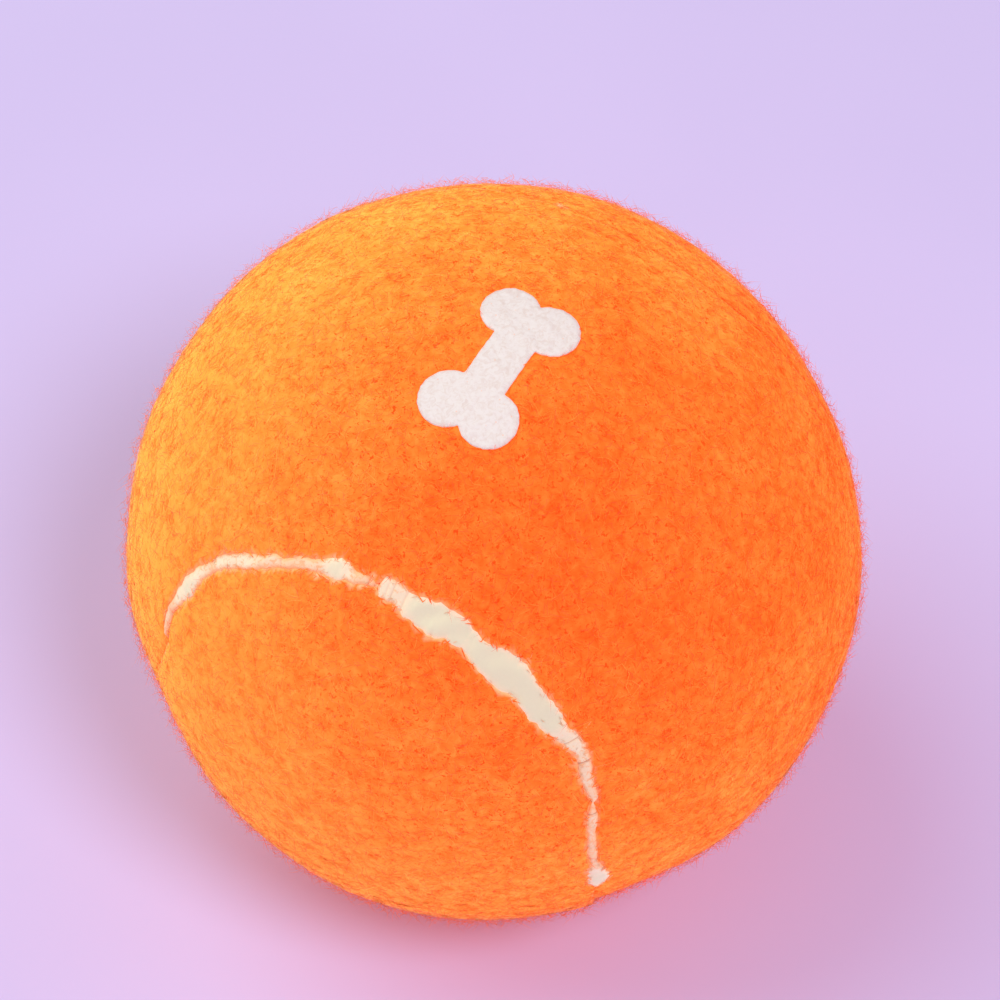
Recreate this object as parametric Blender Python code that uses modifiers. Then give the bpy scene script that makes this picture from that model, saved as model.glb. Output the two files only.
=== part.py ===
"""A felt-covered dog ball, 65 mm across, built up in its real layers.

Two moulded rubber half shells are cemented edge to edge into a hollow core. Two dumbbell-shaped
felt panels, each with a rubber coat on its back, wrap round the core and meet along one closed
line. A cream rubber seam fills that line, and a white printed film bone is pressed into the nap
near the top.

The ball rests on the floor at z = 0. The origin lies on the floor under its centre, and +Z is up.
The ball's own frame, held by the empty named ball, has its pole where panel A is narrowest.
"""

import math

import bmesh
import bpy
from mathutils import Matrix, Vector

# The layers, in metres.
BALL_DIAMETER = 0.065  # across the nap
FELT_THICKNESS = 0.0026  # woven base and raised nap together
COAT_THICKNESS = 0.0004  # rubber coat on the back of each felt panel
CORE_WALL = 0.0033  # both moulded half shells
BOND_GAP = 0.0003  # drawn between layers that are bonded face to face
FOOT_FLAT_DEPTH = 0.0005  # nap pressed flat where the ball rests

# The cement between the two half shells.
CEMENT_THICKNESS = 0.0004
CEMENT_SETBACK = 0.0002  # from both faces of the core wall

# How the ball lies on the floor.
BALL_TURN_DEG = (9.0, 3.7, 16.3)  # about X, then Y, then Z

# The seam's line on the ball. The three-fold swing pinches the panels' waists, the rise lifts the
# line towards the poles, and the drifts are how far the hand-laid panels sit off true.
SEAM_SWING = 0.323
SEAM_RISE = 0.914
SEAM_RISE_FINE = 0.029
SEAM_DRIFT_ONCE_DEG = (6.17, 1.06)  # on the ball, once round: cosine and sine parts
SEAM_DRIFT_TWICE_DEG = (-1.32, -0.88)  # twice round
SEAM_STEPS = 100

# The seam rubber's section.
SEAM_SINK = 0.0005  # its face lies below the nap
SEAM_CLEARANCE = 0.0003  # to each felt panel's cut edge
SEAM_WIDEST = 0.0030
# Its width round the line, as (share of the way round, share of the widest). The rubber was
# squeezed out by hand, so it swells in front and is almost closed behind.
SEAM_WIDTHS = (
    (0.00, 0.33),
    (0.10, 0.30),
    (0.50, 0.30),
    (0.545, 0.53),
    (0.60, 0.57),
    (0.62, 0.37),
    (0.645, 1.00),
    (0.67, 0.93),
    (0.70, 0.47),
    (0.74, 0.40),
    (0.757, 0.60),
    (0.78, 0.33),
    (1.00, 0.33),
)

# The printed bone.
BONE_LENGTH = 0.0098  # between the centres of its end lobes
BONE_LOBE_RADIUS = 0.0025
BONE_LOBE_OFFSET = 0.0019  # lobe centre from the bone's long axis
BONE_SHAFT_HALF = 0.0019
PRINT_FILM = 0.0003  # film thickness
PRINT_SINK = 0.0001  # film's face lies below the nap
PRINT_CLEARANCE = 0.0003  # round the film's edge
PRINT_POLAR_DEG = 6.2  # from the ball's pole
PRINT_AZIMUTH_DEG = -161.5
PRINT_HEADING_DEG = 205.0  # the bone's long axis, about the print's own normal

# Roundness of the turned and spherical surfaces.
SEGMENTS = 36  # round the pole
RINGS = 18  # from pole to pole
LOBE_STEPS = 9  # round each lobe of the bone

# What follows from the sizes above.
BALL_RADIUS = BALL_DIAMETER / 2
FELT_BACK_RADIUS = BALL_RADIUS - FELT_THICKNESS
COAT_RADIUS = FELT_BACK_RADIUS - BOND_GAP
CORE_RADIUS = COAT_RADIUS - COAT_THICKNESS - BOND_GAP
CORE_INNER_RADIUS = CORE_RADIUS - CORE_WALL
SEAM_FACE_RADIUS = BALL_RADIUS - SEAM_SINK
SEAM_FOOT_RADIUS = CORE_RADIUS + BOND_GAP
PRINT_FACE_RADIUS = BALL_RADIUS - PRINT_SINK
PRINT_BACK_RADIUS = PRINT_FACE_RADIUS - PRINT_FILM
RECESS_RADIUS = PRINT_BACK_RADIUS - BOND_GAP
BALL_HEIGHT = BALL_RADIUS - FOOT_FLAT_DEPTH
CUTTER_REACH = FELT_THICKNESS  # how far a cutter stands out past the nap


def make_material(name: str, colour: tuple[float, float, float], roughness: float):
    """Returns a plain opaque material, its colour in linear light."""
    material = bpy.data.materials.new(name)
    material.use_nodes = True
    shader = material.node_tree.nodes["Principled BSDF"]
    shader.inputs["Base Color"].default_value = (*colour, 1.0)
    shader.inputs["Roughness"].default_value = roughness
    shader.inputs["Metallic"].default_value = 0.0
    material.diffuse_color = (*colour, 1.0)
    return material


def add_object(name: str, mesh, collection, parent=None):
    """Puts a mesh in the scene as one object, in its parent's frame."""
    thing = bpy.data.objects.new(name, mesh)
    collection.objects.link(thing)
    thing.parent = parent
    return thing


def hide_cutter(cutter) -> None:
    """Marks an object as a tool that cuts others and isn't part of the ball."""
    cutter.display_type = "WIRE"
    cutter.hide_render = True


def add_boolean(thing, cutter, operation: str = "DIFFERENCE") -> None:
    """Cuts an object with another."""
    cut = thing.modifiers.new(f"{operation.lower()}_{cutter.name}", "BOOLEAN")
    cut.operation = operation
    cut.solver = "EXACT"
    cut.object = cutter


def finish(thing, material) -> None:
    """Gives a piece its one material and smooth shading that breaks at its edges."""
    thing.data.materials.clear()
    thing.data.materials.append(material)
    thing.data.shade_smooth()
    thing.data.set_sharp_from_angle(angle=math.radians(35))


def sphere_mesh(name: str, radius: float):
    """A sphere whose facets line up with those of every other sphere of the ball."""
    mesh = bpy.data.meshes.new(name)
    form = bmesh.new()
    bmesh.ops.create_uvsphere(form, u_segments=SEGMENTS, v_segments=RINGS, radius=radius)
    form.to_mesh(mesh)
    form.free()
    return mesh


def add_shell(name: str, radius: float, thickness: float, collection, parent):
    """A closed spherical layer, its outer face at the radius."""
    shell = add_object(name, sphere_mesh(name, radius), collection, parent)
    wall = shell.modifiers.new("wall", "SOLIDIFY")
    wall.thickness = thickness
    wall.offset = -1.0
    return shell


def seam_point(turn: float) -> Vector:
    """The direction of the seam's line, before the drift, at a share of the way round."""
    angle = 2 * math.pi * turn
    x = math.cos(angle) + SEAM_SWING * math.cos(3 * angle)
    y = math.sin(angle) - SEAM_SWING * math.sin(3 * angle)
    z = SEAM_RISE * math.sin(2 * angle) + SEAM_RISE_FINE * math.sin(6 * angle)
    return Vector((x, y, z)).normalized()


def seam_frame(turn: float) -> tuple[Vector, Vector]:
    """The seam's direction and its sideways direction at a share of the way round."""
    small = 0.25 / SEAM_STEPS
    here = seam_point(turn)
    along = (seam_point(turn + small) - seam_point(turn - small)).normalized()
    return here, here.cross(along).normalized()


def seam_drift(turn: float) -> float:
    """How far the line lies to the side of its true course, as an angle on the ball."""
    angle = 2 * math.pi * turn
    cosine, sine = SEAM_DRIFT_ONCE_DEG
    once = cosine * math.cos(angle) + sine * math.sin(angle)
    cosine, sine = SEAM_DRIFT_TWICE_DEG
    twice = cosine * math.cos(2 * angle) + sine * math.sin(2 * angle)
    return math.radians(once + twice)


def seam_width(turn: float) -> float:
    """The seam rubber's width at a share of the way round, eased from knot to knot."""
    for (start, share), (end, next_share) in zip(SEAM_WIDTHS, SEAM_WIDTHS[1:]):
        if start <= turn <= end:
            ease = 0.5 - 0.5 * math.cos(math.pi * (turn - start) / (end - start))
            return (share + (next_share - share) * ease) * SEAM_WIDEST
    return SEAM_WIDTHS[-1][1] * SEAM_WIDEST


def band_loop(form, side: float, margin: float, radius: float) -> list:
    """One edge of the seam band, as a closed loop of edges on a sphere."""
    corners = []
    for step in range(SEAM_STEPS):
        turn = step / SEAM_STEPS
        here, across = seam_frame(turn)
        half = (seam_width(turn) / 2 + margin) / radius
        direction = (here + across * (seam_drift(turn) + side * half)).normalized()
        corners.append(form.verts.new(direction * radius))
    return [form.edges.new((corners[i - 1], corners[i])) for i in range(SEAM_STEPS)]


def add_seam_band(name: str, margin: float, face: float, foot: float, collection, parent):
    """A closed band along the seam's line, from a foot radius out to a face radius."""
    mesh = bpy.data.meshes.new(name)
    form = bmesh.new()
    edges = band_loop(form, -1, margin, face) + band_loop(form, 1, margin, face)
    bmesh.ops.bridge_loops(form, edges=edges)
    bmesh.ops.recalc_face_normals(form, faces=form.faces)
    middle = form.faces[:][0]
    if middle.normal.dot(middle.calc_center_median()) < 0:
        bmesh.ops.reverse_faces(form, faces=form.faces)
    form.to_mesh(mesh)
    form.free()
    band = add_object(name, mesh, collection, parent)
    wall = band.modifiers.new("depth", "SOLIDIFY")
    wall.thickness = face - foot
    wall.offset = -1.0
    return band


def bone_outline(margin: float) -> list[tuple[float, float]]:
    """The bone's outline, grown by a margin: two round lobes at each end of a straight shaft."""
    lobe = BONE_LOBE_RADIUS + margin
    shaft = BONE_SHAFT_HALF + margin
    start = math.pi + math.asin((BONE_LOBE_OFFSET - shaft) / lobe)
    end = -math.asin(min(1.0, BONE_LOBE_OFFSET / lobe))
    quarter = []
    for step in range(LOBE_STEPS + 1):
        angle = start + (end - start) * step / LOBE_STEPS
        x = BONE_LENGTH / 2 + lobe * math.cos(angle)
        y = BONE_LOBE_OFFSET + lobe * math.sin(angle)
        quarter.append((x, y))
    upper_right = quarter
    lower_right = [(x, -y) for x, y in reversed(quarter[:-1])]
    lower_left = [(-x, -y) for x, y in quarter]
    upper_left = [(-x, y) for x, y in reversed(quarter[:-1])]
    return upper_right + lower_right + lower_left + upper_left


def add_bone_prism(name: str, margin: float, collection, parent):
    """The bone outline stood up as a prism through the ball's surface at the print's place."""
    outline = bpy.data.curves.new(name, "CURVE")
    outline.dimensions = "2D"
    outline.fill_mode = "BOTH"
    outline.extrude = 2 * FELT_THICKNESS
    spline = outline.splines.new("POLY")
    corners = bone_outline(margin)
    spline.points.add(len(corners) - 1)
    for point, (x, y) in zip(spline.points, corners):
        point.co = (x, y, 0.0, 1.0)
    spline.use_cyclic_u = True
    drawn = bpy.data.objects.new(f"{name}_outline", outline)
    collection.objects.link(drawn)
    bpy.context.view_layer.update()
    evaluated = drawn.evaluated_get(bpy.context.evaluated_depsgraph_get())
    mesh = bpy.data.meshes.new_from_object(evaluated)
    bpy.data.objects.remove(drawn)
    form = bmesh.new()
    form.from_mesh(mesh)
    bmesh.ops.remove_doubles(form, verts=form.verts, dist=1e-6)
    bmesh.ops.recalc_face_normals(form, faces=form.faces)
    form.to_mesh(mesh)
    form.free()
    mesh.materials.clear()
    prism = add_object(name, mesh, collection, parent)
    azimuth = Matrix.Rotation(math.radians(PRINT_AZIMUTH_DEG), 4, "Z")
    polar = Matrix.Rotation(math.radians(PRINT_POLAR_DEG), 4, "Y")
    heading = Matrix.Rotation(math.radians(PRINT_HEADING_DEG), 4, "Z")
    out = Matrix.Translation((0, 0, BALL_RADIUS))
    prism.matrix_local = azimuth @ polar @ heading @ out
    return prism


def split_panels(shell, names: tuple[str, str], material, collection, parent) -> list:
    """Makes two objects of a shell that the seam's cutter parts, panel A first."""
    bpy.context.view_layer.update()
    evaluated = shell.evaluated_get(bpy.context.evaluated_depsgraph_get())
    cut_mesh = bpy.data.meshes.new_from_object(evaluated)
    bpy.data.objects.remove(shell)
    form = bmesh.new()
    form.from_mesh(cut_mesh)
    seed = max(form.verts, key=lambda vert: vert.co.z)
    panel_a = {seed}
    edge_of_panel = [seed]
    while edge_of_panel:
        vert = edge_of_panel.pop()
        for edge in vert.link_edges:
            other = edge.other_vert(vert)
            if other not in panel_a:
                panel_a.add(other)
                edge_of_panel.append(other)
    in_a = {vert.index for vert in panel_a}
    form.free()
    panels = []
    for name, keep_a in zip(names, (True, False)):
        form = bmesh.new()
        form.from_mesh(cut_mesh)
        spare = [vert for vert in form.verts if (vert.index in in_a) != keep_a]
        bmesh.ops.delete(form, geom=spare, context="VERTS")
        mesh = bpy.data.meshes.new(name)
        form.to_mesh(mesh)
        form.free()
        panel = add_object(name, mesh, collection, parent)
        finish(panel, material)
        panels.append(panel)
    return panels


def half_shell_profile() -> list[tuple[float, float]]:
    """The upper half shell's section: down its outer face, then up its inner one."""
    rim = CEMENT_THICKNESS / 2 + BOND_GAP
    quarter = RINGS // 2
    outer = [math.radians(90 - 90 * ring / quarter) for ring in range(quarter)]
    points = [(CORE_RADIUS * math.cos(a), CORE_RADIUS * math.sin(a)) for a in outer]
    points.append((math.sqrt(CORE_RADIUS**2 - rim**2), rim))
    points.append((math.sqrt(CORE_INNER_RADIUS**2 - rim**2), rim))
    points += [
        (CORE_INNER_RADIUS * math.cos(a), CORE_INNER_RADIUS * math.sin(a)) for a in reversed(outer)
    ]
    return [(0.0 if x < 1e-9 else x, z) for x, z in points]


def add_turned(name: str, profile: list, closed: bool, material, collection, parent):
    """Turns a profile in the XZ plane about Z."""
    mesh = bpy.data.meshes.new(name)
    form = bmesh.new()
    corners = [form.verts.new((x, 0.0, z)) for x, z in profile]
    for start, end in zip(corners, corners[1:]):
        form.edges.new((start, end))
    if closed:
        form.edges.new((corners[-1], corners[0]))
    form.to_mesh(mesh)
    form.free()
    piece = add_object(name, mesh, collection, parent)
    screw = piece.modifiers.new("turn", "SCREW")
    screw.angle = 2 * math.pi
    screw.steps = SEGMENTS
    screw.render_steps = SEGMENTS
    screw.use_merge_vertices = True
    screw.merge_threshold = 0.00001
    screw.use_smooth_shade = True
    finish(piece, material)
    return piece


def build_core(collection, parent) -> None:
    """The hollow rubber core: two half shells and the ring of cement that joins them."""
    rubber = make_material("core_rubber", (0.035, 0.035, 0.037), 0.75)
    cement = make_material("joint_cement", (0.42, 0.30, 0.14), 0.45)
    profile = half_shell_profile()
    add_turned("core_half_upper", profile, False, rubber, collection, parent)
    lower = add_turned("core_half_lower", profile, False, rubber, collection, parent)
    lower.rotation_euler.x = math.pi
    inner = CORE_INNER_RADIUS + CEMENT_SETBACK
    outer = CORE_RADIUS - CEMENT_SETBACK
    half = CEMENT_THICKNESS / 2
    ring = [(inner, half), (outer, half), (outer, -half), (inner, -half)]
    add_turned("core_joint_cement", ring, True, cement, collection, parent)


def build_cover(collection, cutters, parent) -> None:
    """Both felt panels, the rubber coat on their backs and the printed bone's recess."""
    felt = make_material("orange_felt", (1.0, 0.235, 0.022), 0.95)
    coat = make_material("cover_cement", (0.50, 0.36, 0.19), 0.5)
    seam_cutter = add_seam_band(
        "seam_cutter", SEAM_CLEARANCE, BALL_RADIUS + CUTTER_REACH, CORE_RADIUS, cutters, parent
    )
    foot_cutter = add_foot_cutter(cutters)
    print_cutter = add_bone_prism("print_cutter", PRINT_CLEARANCE, cutters, parent)
    recess_floor = add_object(
        "recess_floor", sphere_mesh("recess_floor", RECESS_RADIUS), cutters, parent
    )
    add_boolean(print_cutter, recess_floor)
    for cutter in (seam_cutter, foot_cutter, print_cutter, recess_floor):
        hide_cutter(cutter)
    shell = add_shell("felt_shell", BALL_RADIUS, FELT_THICKNESS, collection, parent)
    for cutter in (seam_cutter, print_cutter, foot_cutter):
        add_boolean(shell, cutter)
    split_panels(shell, ("felt_panel_a", "felt_panel_b"), felt, collection, parent)
    backing = add_shell("coat_shell", COAT_RADIUS, COAT_THICKNESS, collection, parent)
    add_boolean(backing, seam_cutter)
    split_panels(backing, ("cover_cement_a", "cover_cement_b"), coat, collection, parent)


def add_foot_cutter(cutters):
    """A block whose top is the floor, which presses the nap flat where the ball rests."""
    mesh = bpy.data.meshes.new("foot_cutter")
    form = bmesh.new()
    bmesh.ops.create_cube(form, size=BALL_DIAMETER)
    form.to_mesh(mesh)
    form.free()
    block = add_object("foot_cutter", mesh, cutters)
    block.location.z = -BALL_DIAMETER / 2
    return block


def build_seam(collection, parent) -> None:
    """The cream rubber that fills the line between the panels, down to the core."""
    rubber = make_material("seam_rubber", (0.80, 0.70, 0.55), 0.6)
    band = add_seam_band(
        "seam_filler", 0.0, SEAM_FACE_RADIUS, SEAM_FOOT_RADIUS, collection, parent
    )
    finish(band, rubber)


def build_print(collection, cutters, parent) -> None:
    """The white film bone, its face just under the nap."""
    film = make_material("print_film", (0.86, 0.84, 0.80), 0.55)
    face = add_object("print_face", sphere_mesh("print_face", PRINT_FACE_RADIUS), cutters, parent)
    back = add_object("print_back", sphere_mesh("print_back", PRINT_BACK_RADIUS), cutters, parent)
    hide_cutter(face)
    hide_cutter(back)
    mark = add_bone_prism("printed_mark", 0.0, collection, parent)
    add_boolean(mark, face, "INTERSECT")
    add_boolean(mark, back)
    finish(mark, film)


def main() -> None:
    """Builds the ball in an emptied scene."""
    for thing in list(bpy.data.objects):
        bpy.data.objects.remove(thing)
    parts = bpy.data.collections.new("dog_ball")
    cutters = bpy.data.collections.new("cutters")
    for collection in (parts, cutters):
        bpy.context.scene.collection.children.link(collection)
    ball = bpy.data.objects.new("ball", None)
    ball.location.z = BALL_HEIGHT
    ball.rotation_euler = [math.radians(angle) for angle in BALL_TURN_DEG]
    ball.empty_display_size = BALL_RADIUS
    parts.objects.link(ball)
    build_core(parts, ball)
    build_cover(parts, cutters, ball)
    build_seam(parts, ball)
    build_print(parts, cutters, ball)


main()
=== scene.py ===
"""A felt-covered dog ball on a lilac table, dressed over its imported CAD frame.

The frame's own solids carry the bodies. What shows here is finer: each felt panel is a closed skin
with a nap of single fibres and a loose fuzz, the seam rubber is one squeezed bead that runs all the
way round, and the print is a film bone pressed into the nap. The rubber core inside keeps its CAD
solids and gets their real finishes.
"""

import logging
import math
from collections.abc import Callable, Sequence
from dataclasses import dataclass, field
from enum import Enum
from functools import lru_cache

import bpy
import numpy as np
from mathutils import Euler, Matrix, Vector


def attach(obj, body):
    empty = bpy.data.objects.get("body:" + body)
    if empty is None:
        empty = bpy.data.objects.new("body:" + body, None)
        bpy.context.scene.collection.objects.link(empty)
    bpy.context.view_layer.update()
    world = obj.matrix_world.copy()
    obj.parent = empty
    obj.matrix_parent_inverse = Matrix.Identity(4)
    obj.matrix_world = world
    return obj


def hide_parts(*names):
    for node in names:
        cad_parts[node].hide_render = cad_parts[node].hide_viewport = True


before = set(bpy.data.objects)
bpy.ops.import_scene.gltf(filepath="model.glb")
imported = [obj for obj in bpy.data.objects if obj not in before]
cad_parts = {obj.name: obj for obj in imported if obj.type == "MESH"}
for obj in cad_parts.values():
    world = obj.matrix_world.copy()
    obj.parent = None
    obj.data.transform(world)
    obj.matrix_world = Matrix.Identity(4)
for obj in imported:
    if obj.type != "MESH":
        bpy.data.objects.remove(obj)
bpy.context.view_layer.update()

MM = 0.001
log = logging.getLogger("dog_ball")
PointRule = Callable[[np.ndarray], np.ndarray]
Colour = tuple[float, float, float, float]

# The ball's own measures, as in the CAD, in metres.
BALL_RADIUS = 32.5 * MM
FELT_THICKNESS = 2.6 * MM
BALL_HEIGHT = 32.0 * MM
BALL_TURN_DEG = (9.0, 3.7, 16.3)
BALL_PLACE = Matrix.Translation((0, 0, BALL_HEIGHT)) @ Euler(
    [math.radians(angle) for angle in BALL_TURN_DEG]
).to_matrix().to_4x4()
SKIN_DEPTH = 0.22 * MM  # the skin lies this far under the top of the nap
FLOOR_LIFT = 0.03 * MM  # nothing of the ball goes lower than this
NAP_SWIRL = 7 * MM  # the nap lies one way over about this distance


class Panel(Enum):
    """Which felt panel a piece belongs to: A holds the ball's pole."""

    A = "a"
    B = "b"


# Small tools


def to_linear(colour: str) -> Colour:
    """Turns an sRGB hex colour to linear light.

    Args:
        colour: six hex digits.

    Returns:
        Red, green, blue and an alpha of 1.
    """
    parts = [int(colour[i : i + 2], 16) / 255 for i in (0, 2, 4)]
    light = [c / 12.92 if c <= 0.04045 else ((c + 0.055) / 1.055) ** 2.4 for c in parts]
    return (*light, 1.0)


# A colour Mix node's sockets have repeated names, so they go by number.
MIX_SHARE, MIX_A, MIX_B, MIX_RESULT = 0, 6, 7, 2


def add_node(
    tree: bpy.types.NodeTree, kind: str, inputs: dict | None = None, stops: Sequence = (),
    **settings: object,
) -> bpy.types.Node:
    """Adds a node with its settings and links.

    Args:
        tree: the node tree.
        kind: the node's type name.
        inputs: input name or number to a value, or to a socket that is linked.
        stops: (place, hex colour or grey value) pairs for a colour ramp.
        settings: the node's own fields.

    Returns:
        The new node.
    """
    node = tree.nodes.new(kind)
    for name, value in settings.items():
        setattr(node, name, value)
    for name, value in (inputs or {}).items():
        if isinstance(value, bpy.types.NodeSocket):
            tree.links.new(value, node.inputs[name])
        else:
            node.inputs[name].default_value = value
    if stops:
        ramp = node.color_ramp.elements
        while len(ramp) < len(stops):
            ramp.new(0.5)
        for element, (place, colour) in zip(ramp, stops):
            element.position = place
            grey = not isinstance(colour, str)
            element.color = (colour, colour, colour, 1.0) if grey else to_linear(colour)
    return node


def new_material(
    name: str,
) -> tuple[bpy.types.Material, bpy.types.NodeTree, bpy.types.Node, bpy.types.NodeSocket]:
    """Starts a material.

    Args:
        name: its name.

    Returns:
        The material, its node tree, its Principled shader and its Object coordinates socket.
    """
    material = bpy.data.materials.new(name)
    material.use_nodes = True
    tree = material.node_tree
    place = add_node(tree, "ShaderNodeTexCoord")
    return material, tree, tree.nodes["Principled BSDF"], place.outputs["Object"]


def unit(vectors: np.ndarray) -> np.ndarray:
    """Scales vectors to a length of 1."""
    return vectors / np.linalg.norm(vectors, axis=-1, keepdims=True)


def eased(value: np.ndarray, start: float, end: float) -> np.ndarray:
    """Rises smoothly from 0 at start to 1 at end."""
    share = np.clip((value - start) / (end - start), 0.0, 1.0)
    return share * share * (3 - 2 * share)


@dataclass(frozen=True)
class Ripple:
    """A smooth random pattern: plane waves of about one size in random directions."""

    size: float
    seed: int
    waves: int = 28

    def at(self, points: np.ndarray) -> np.ndarray:
        """Works out the pattern.

        Args:
            points: rows of two or three coordinates.

        Returns:
            Its value at each point, about -2 to 2 with a mean of 0.
        """
        random = np.random.default_rng(self.seed)
        pitch = 2 * math.pi / self.size * random.uniform(0.7, 1.4, self.waves)
        ways = unit(random.normal(size=(self.waves, points.shape[1]))) * pitch[:, None]
        start = random.uniform(0, 2 * math.pi, self.waves)
        return np.sin(points @ ways.T + start).sum(axis=1) / math.sqrt(self.waves / 2)


def relief_at(points: np.ndarray, reliefs: Sequence[tuple[float, int, float]]) -> np.ndarray:
    """Adds up random patterns.

    Args:
        points: rows of two or three coordinates.
        reliefs: each pattern's size, seed and height.

    Returns:
        The height at each point.
    """
    total = np.zeros(len(points))
    for size, seed, height in reliefs:
        total += Ripple(size, seed).at(points) * height
    return total


def read_all(
    items: bpy.types.bpy_prop_collection, name: str, kind: type, width: int = 1
) -> np.ndarray:
    """Reads one property of every vertex, edge, face or corner of a mesh.

    Args:
        items: the mesh's vertices, edges, polygons or loops.
        name: the property.
        kind: its number type.
        width: how many numbers it has.

    Returns:
        The numbers, all in one row.
    """
    row = np.empty(len(items) * width, kind)
    items.foreach_get(name, row)
    return row


def read_points(mesh: bpy.types.Mesh) -> np.ndarray:
    """Reads a mesh's vertices, one row of coordinates for each."""
    return read_all(mesh.vertices, "co", np.float32, 3).reshape(-1, 3).astype(np.float64)


def write_points(mesh: bpy.types.Mesh, points: np.ndarray) -> None:
    """Moves the mesh's vertices to the rows of an array."""
    mesh.vertices.foreach_set("co", points.astype(np.float32).ravel())
    mesh.update()


def write_values(mesh: bpy.types.Mesh, name: str, values: np.ndarray) -> None:
    """Keeps one number a vertex as a named attribute."""
    kept = mesh.attributes.new(name, "FLOAT", "POINT")
    kept.data.foreach_set("value", values.astype(np.float32))


def to_world(points: np.ndarray) -> np.ndarray:
    """Puts points of the ball's own frame in place, and presses what is under the floor flat.

    Args:
        points: rows in the ball's frame.

    Returns:
        The same points in the row's frame.
    """
    turn = np.array(BALL_PLACE)
    placed = points @ turn[:3, :3].T + turn[:3, 3]
    low = placed[:, 2] < FLOOR_LIFT
    placed[low, 2] = FLOOR_LIFT
    return placed


def deselect_all() -> None:
    """Leaves no object selected, so that an operator acts on the next primitive only."""
    bpy.ops.object.select_all(action="DESELECT")


def make_active(piece: bpy.types.Object) -> None:
    """Selects one object alone and makes it the active one.

    Args:
        piece: the object.
    """
    deselect_all()
    piece.select_set(True)
    bpy.context.view_layer.objects.active = piece


def select_faces(mesh: bpy.types.Mesh, chosen: np.ndarray) -> None:
    """Selects faces alone, with their edges and corners.

    Args:
        mesh: the mesh.
        chosen: for each face, whether it is selected.
    """
    on = np.repeat(chosen, read_all(mesh.polygons, "loop_total", np.int32))
    verts = np.zeros(len(mesh.vertices), bool)
    verts[read_all(mesh.loops, "vertex_index", np.int32)[on]] = True
    lines = np.zeros(len(mesh.edges), bool)
    lines[read_all(mesh.loops, "edge_index", np.int32)[on]] = True
    mesh.vertices.foreach_set("select", verts)
    mesh.edges.foreach_set("select", lines)
    mesh.polygons.foreach_set("select", chosen)


def trim_to(
    piece: bpy.types.Object, inside: PointRule, settle: PointRule, reach: float, rounds: int = 6
) -> None:
    """Cuts a fine grid mesh back to an outline and draws its edge onto it.

    Args:
        piece: the object, a mesh of even quads.
        inside: gives each point's distance within the outline, below 0 outside it.
        settle: puts points back on the surface that the mesh lies on.
        reach: how far in from the edge the grid is evened out.
        rounds: how often.
    """
    mesh = piece.data
    depth = inside(read_points(mesh))
    corners = read_all(mesh.loops, "vertex_index", np.int32)
    face_depth = depth[corners].reshape(-1, 4).mean(axis=1)
    bpy.context.tool_settings.mesh_select_mode = (False, False, True)
    select_faces(mesh, face_depth <= 0)
    make_active(piece)
    bpy.ops.object.mode_set(mode="EDIT")
    bpy.ops.mesh.delete(type="FACE")
    bpy.ops.object.mode_set(mode="OBJECT")
    points = read_points(mesh)
    ends = read_all(mesh.edges, "vertices", np.int32, 2).reshape(-1, 2)
    lines = read_all(mesh.loops, "edge_index", np.int32)
    border = ends[np.bincount(lines, minlength=len(ends)) == 1]
    rim = np.unique(border)
    near = inside(points) < reach
    near[rim] = False
    for _ in range(rounds):
        points[rim] = averaged(points, border)[rim]
        points[near] = averaged(points, ends)[near]
        points = settle(points)
        for _ in range(3):
            points[rim] = drawn_to_edge(points[rim], inside)
            points[rim] = settle(points[rim])
    write_points(mesh, points)


def thicken(piece: bpy.types.Object, depth: float) -> None:
    """Turns a surface into a closed shell, which lies under it.

    Args:
        piece: the object.
        depth: the shell's thickness.
    """
    wall = piece.modifiers.new("thickness", "SOLIDIFY")
    wall.thickness = depth
    wall.offset = -1.0
    make_active(piece)
    bpy.ops.object.modifier_apply(modifier=wall.name)


def averaged(points: np.ndarray, ends: np.ndarray) -> np.ndarray:
    """Moves each point half way to the mean of its neighbours.

    Args:
        points: the vertices.
        ends: the two vertex numbers of each edge that counts.

    Returns:
        The moved vertices.
    """
    count = np.bincount(ends.ravel(), minlength=len(points))
    total = np.zeros_like(points)
    for axis in range(3):
        for here, there in ((0, 1), (1, 0)):
            total[:, axis] += np.bincount(
                ends[:, here], points[ends[:, there], axis], minlength=len(points)
            )
    joined = count > 0
    moved = points.copy()
    moved[joined] = 0.5 * points[joined] + 0.5 * total[joined] / count[joined, None]
    return moved


def drawn_to_edge(points: np.ndarray, inside: PointRule) -> np.ndarray:
    """Moves points down or up the slope of inside to where it is 0.

    Args:
        points: the vertices.
        inside: gives each point's distance within the outline.

    Returns:
        The moved vertices.
    """
    step = 0.02 * MM
    least_slope = 0.5  # keeps a point from a far leap where the outline's slope is faint
    here = inside(points)
    slope = np.stack(
        [(inside(points + step * axis) - here) / step for axis in np.eye(3)], axis=1
    )
    steep = np.maximum((slope**2).sum(axis=1), least_slope**2)
    return points - slope * (here / steep)[:, None]


def finish_piece(
    piece: bpy.types.Object, name: str, material: bpy.types.Material, slot: str, *nodes: str
) -> bpy.types.Object:
    """Names a piece, gives it its finish, and lets it ride on the ball.

    Args:
        piece: the object, at the origin with its place in its mesh.
        name: its name.
        material: its one material.
        slot: not used.
        nodes: the CAD nodes that it stands for.

    Returns:
        The object.
    """
    piece.name = name
    piece.data.name = name
    piece.data.materials.clear()
    piece.data.materials.append(material)
    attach(piece, "root")
    if nodes:
        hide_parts(*nodes)
    log.info("%s: %d faces", name, len(piece.data.polygons))
    return piece


# The seam's line


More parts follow.
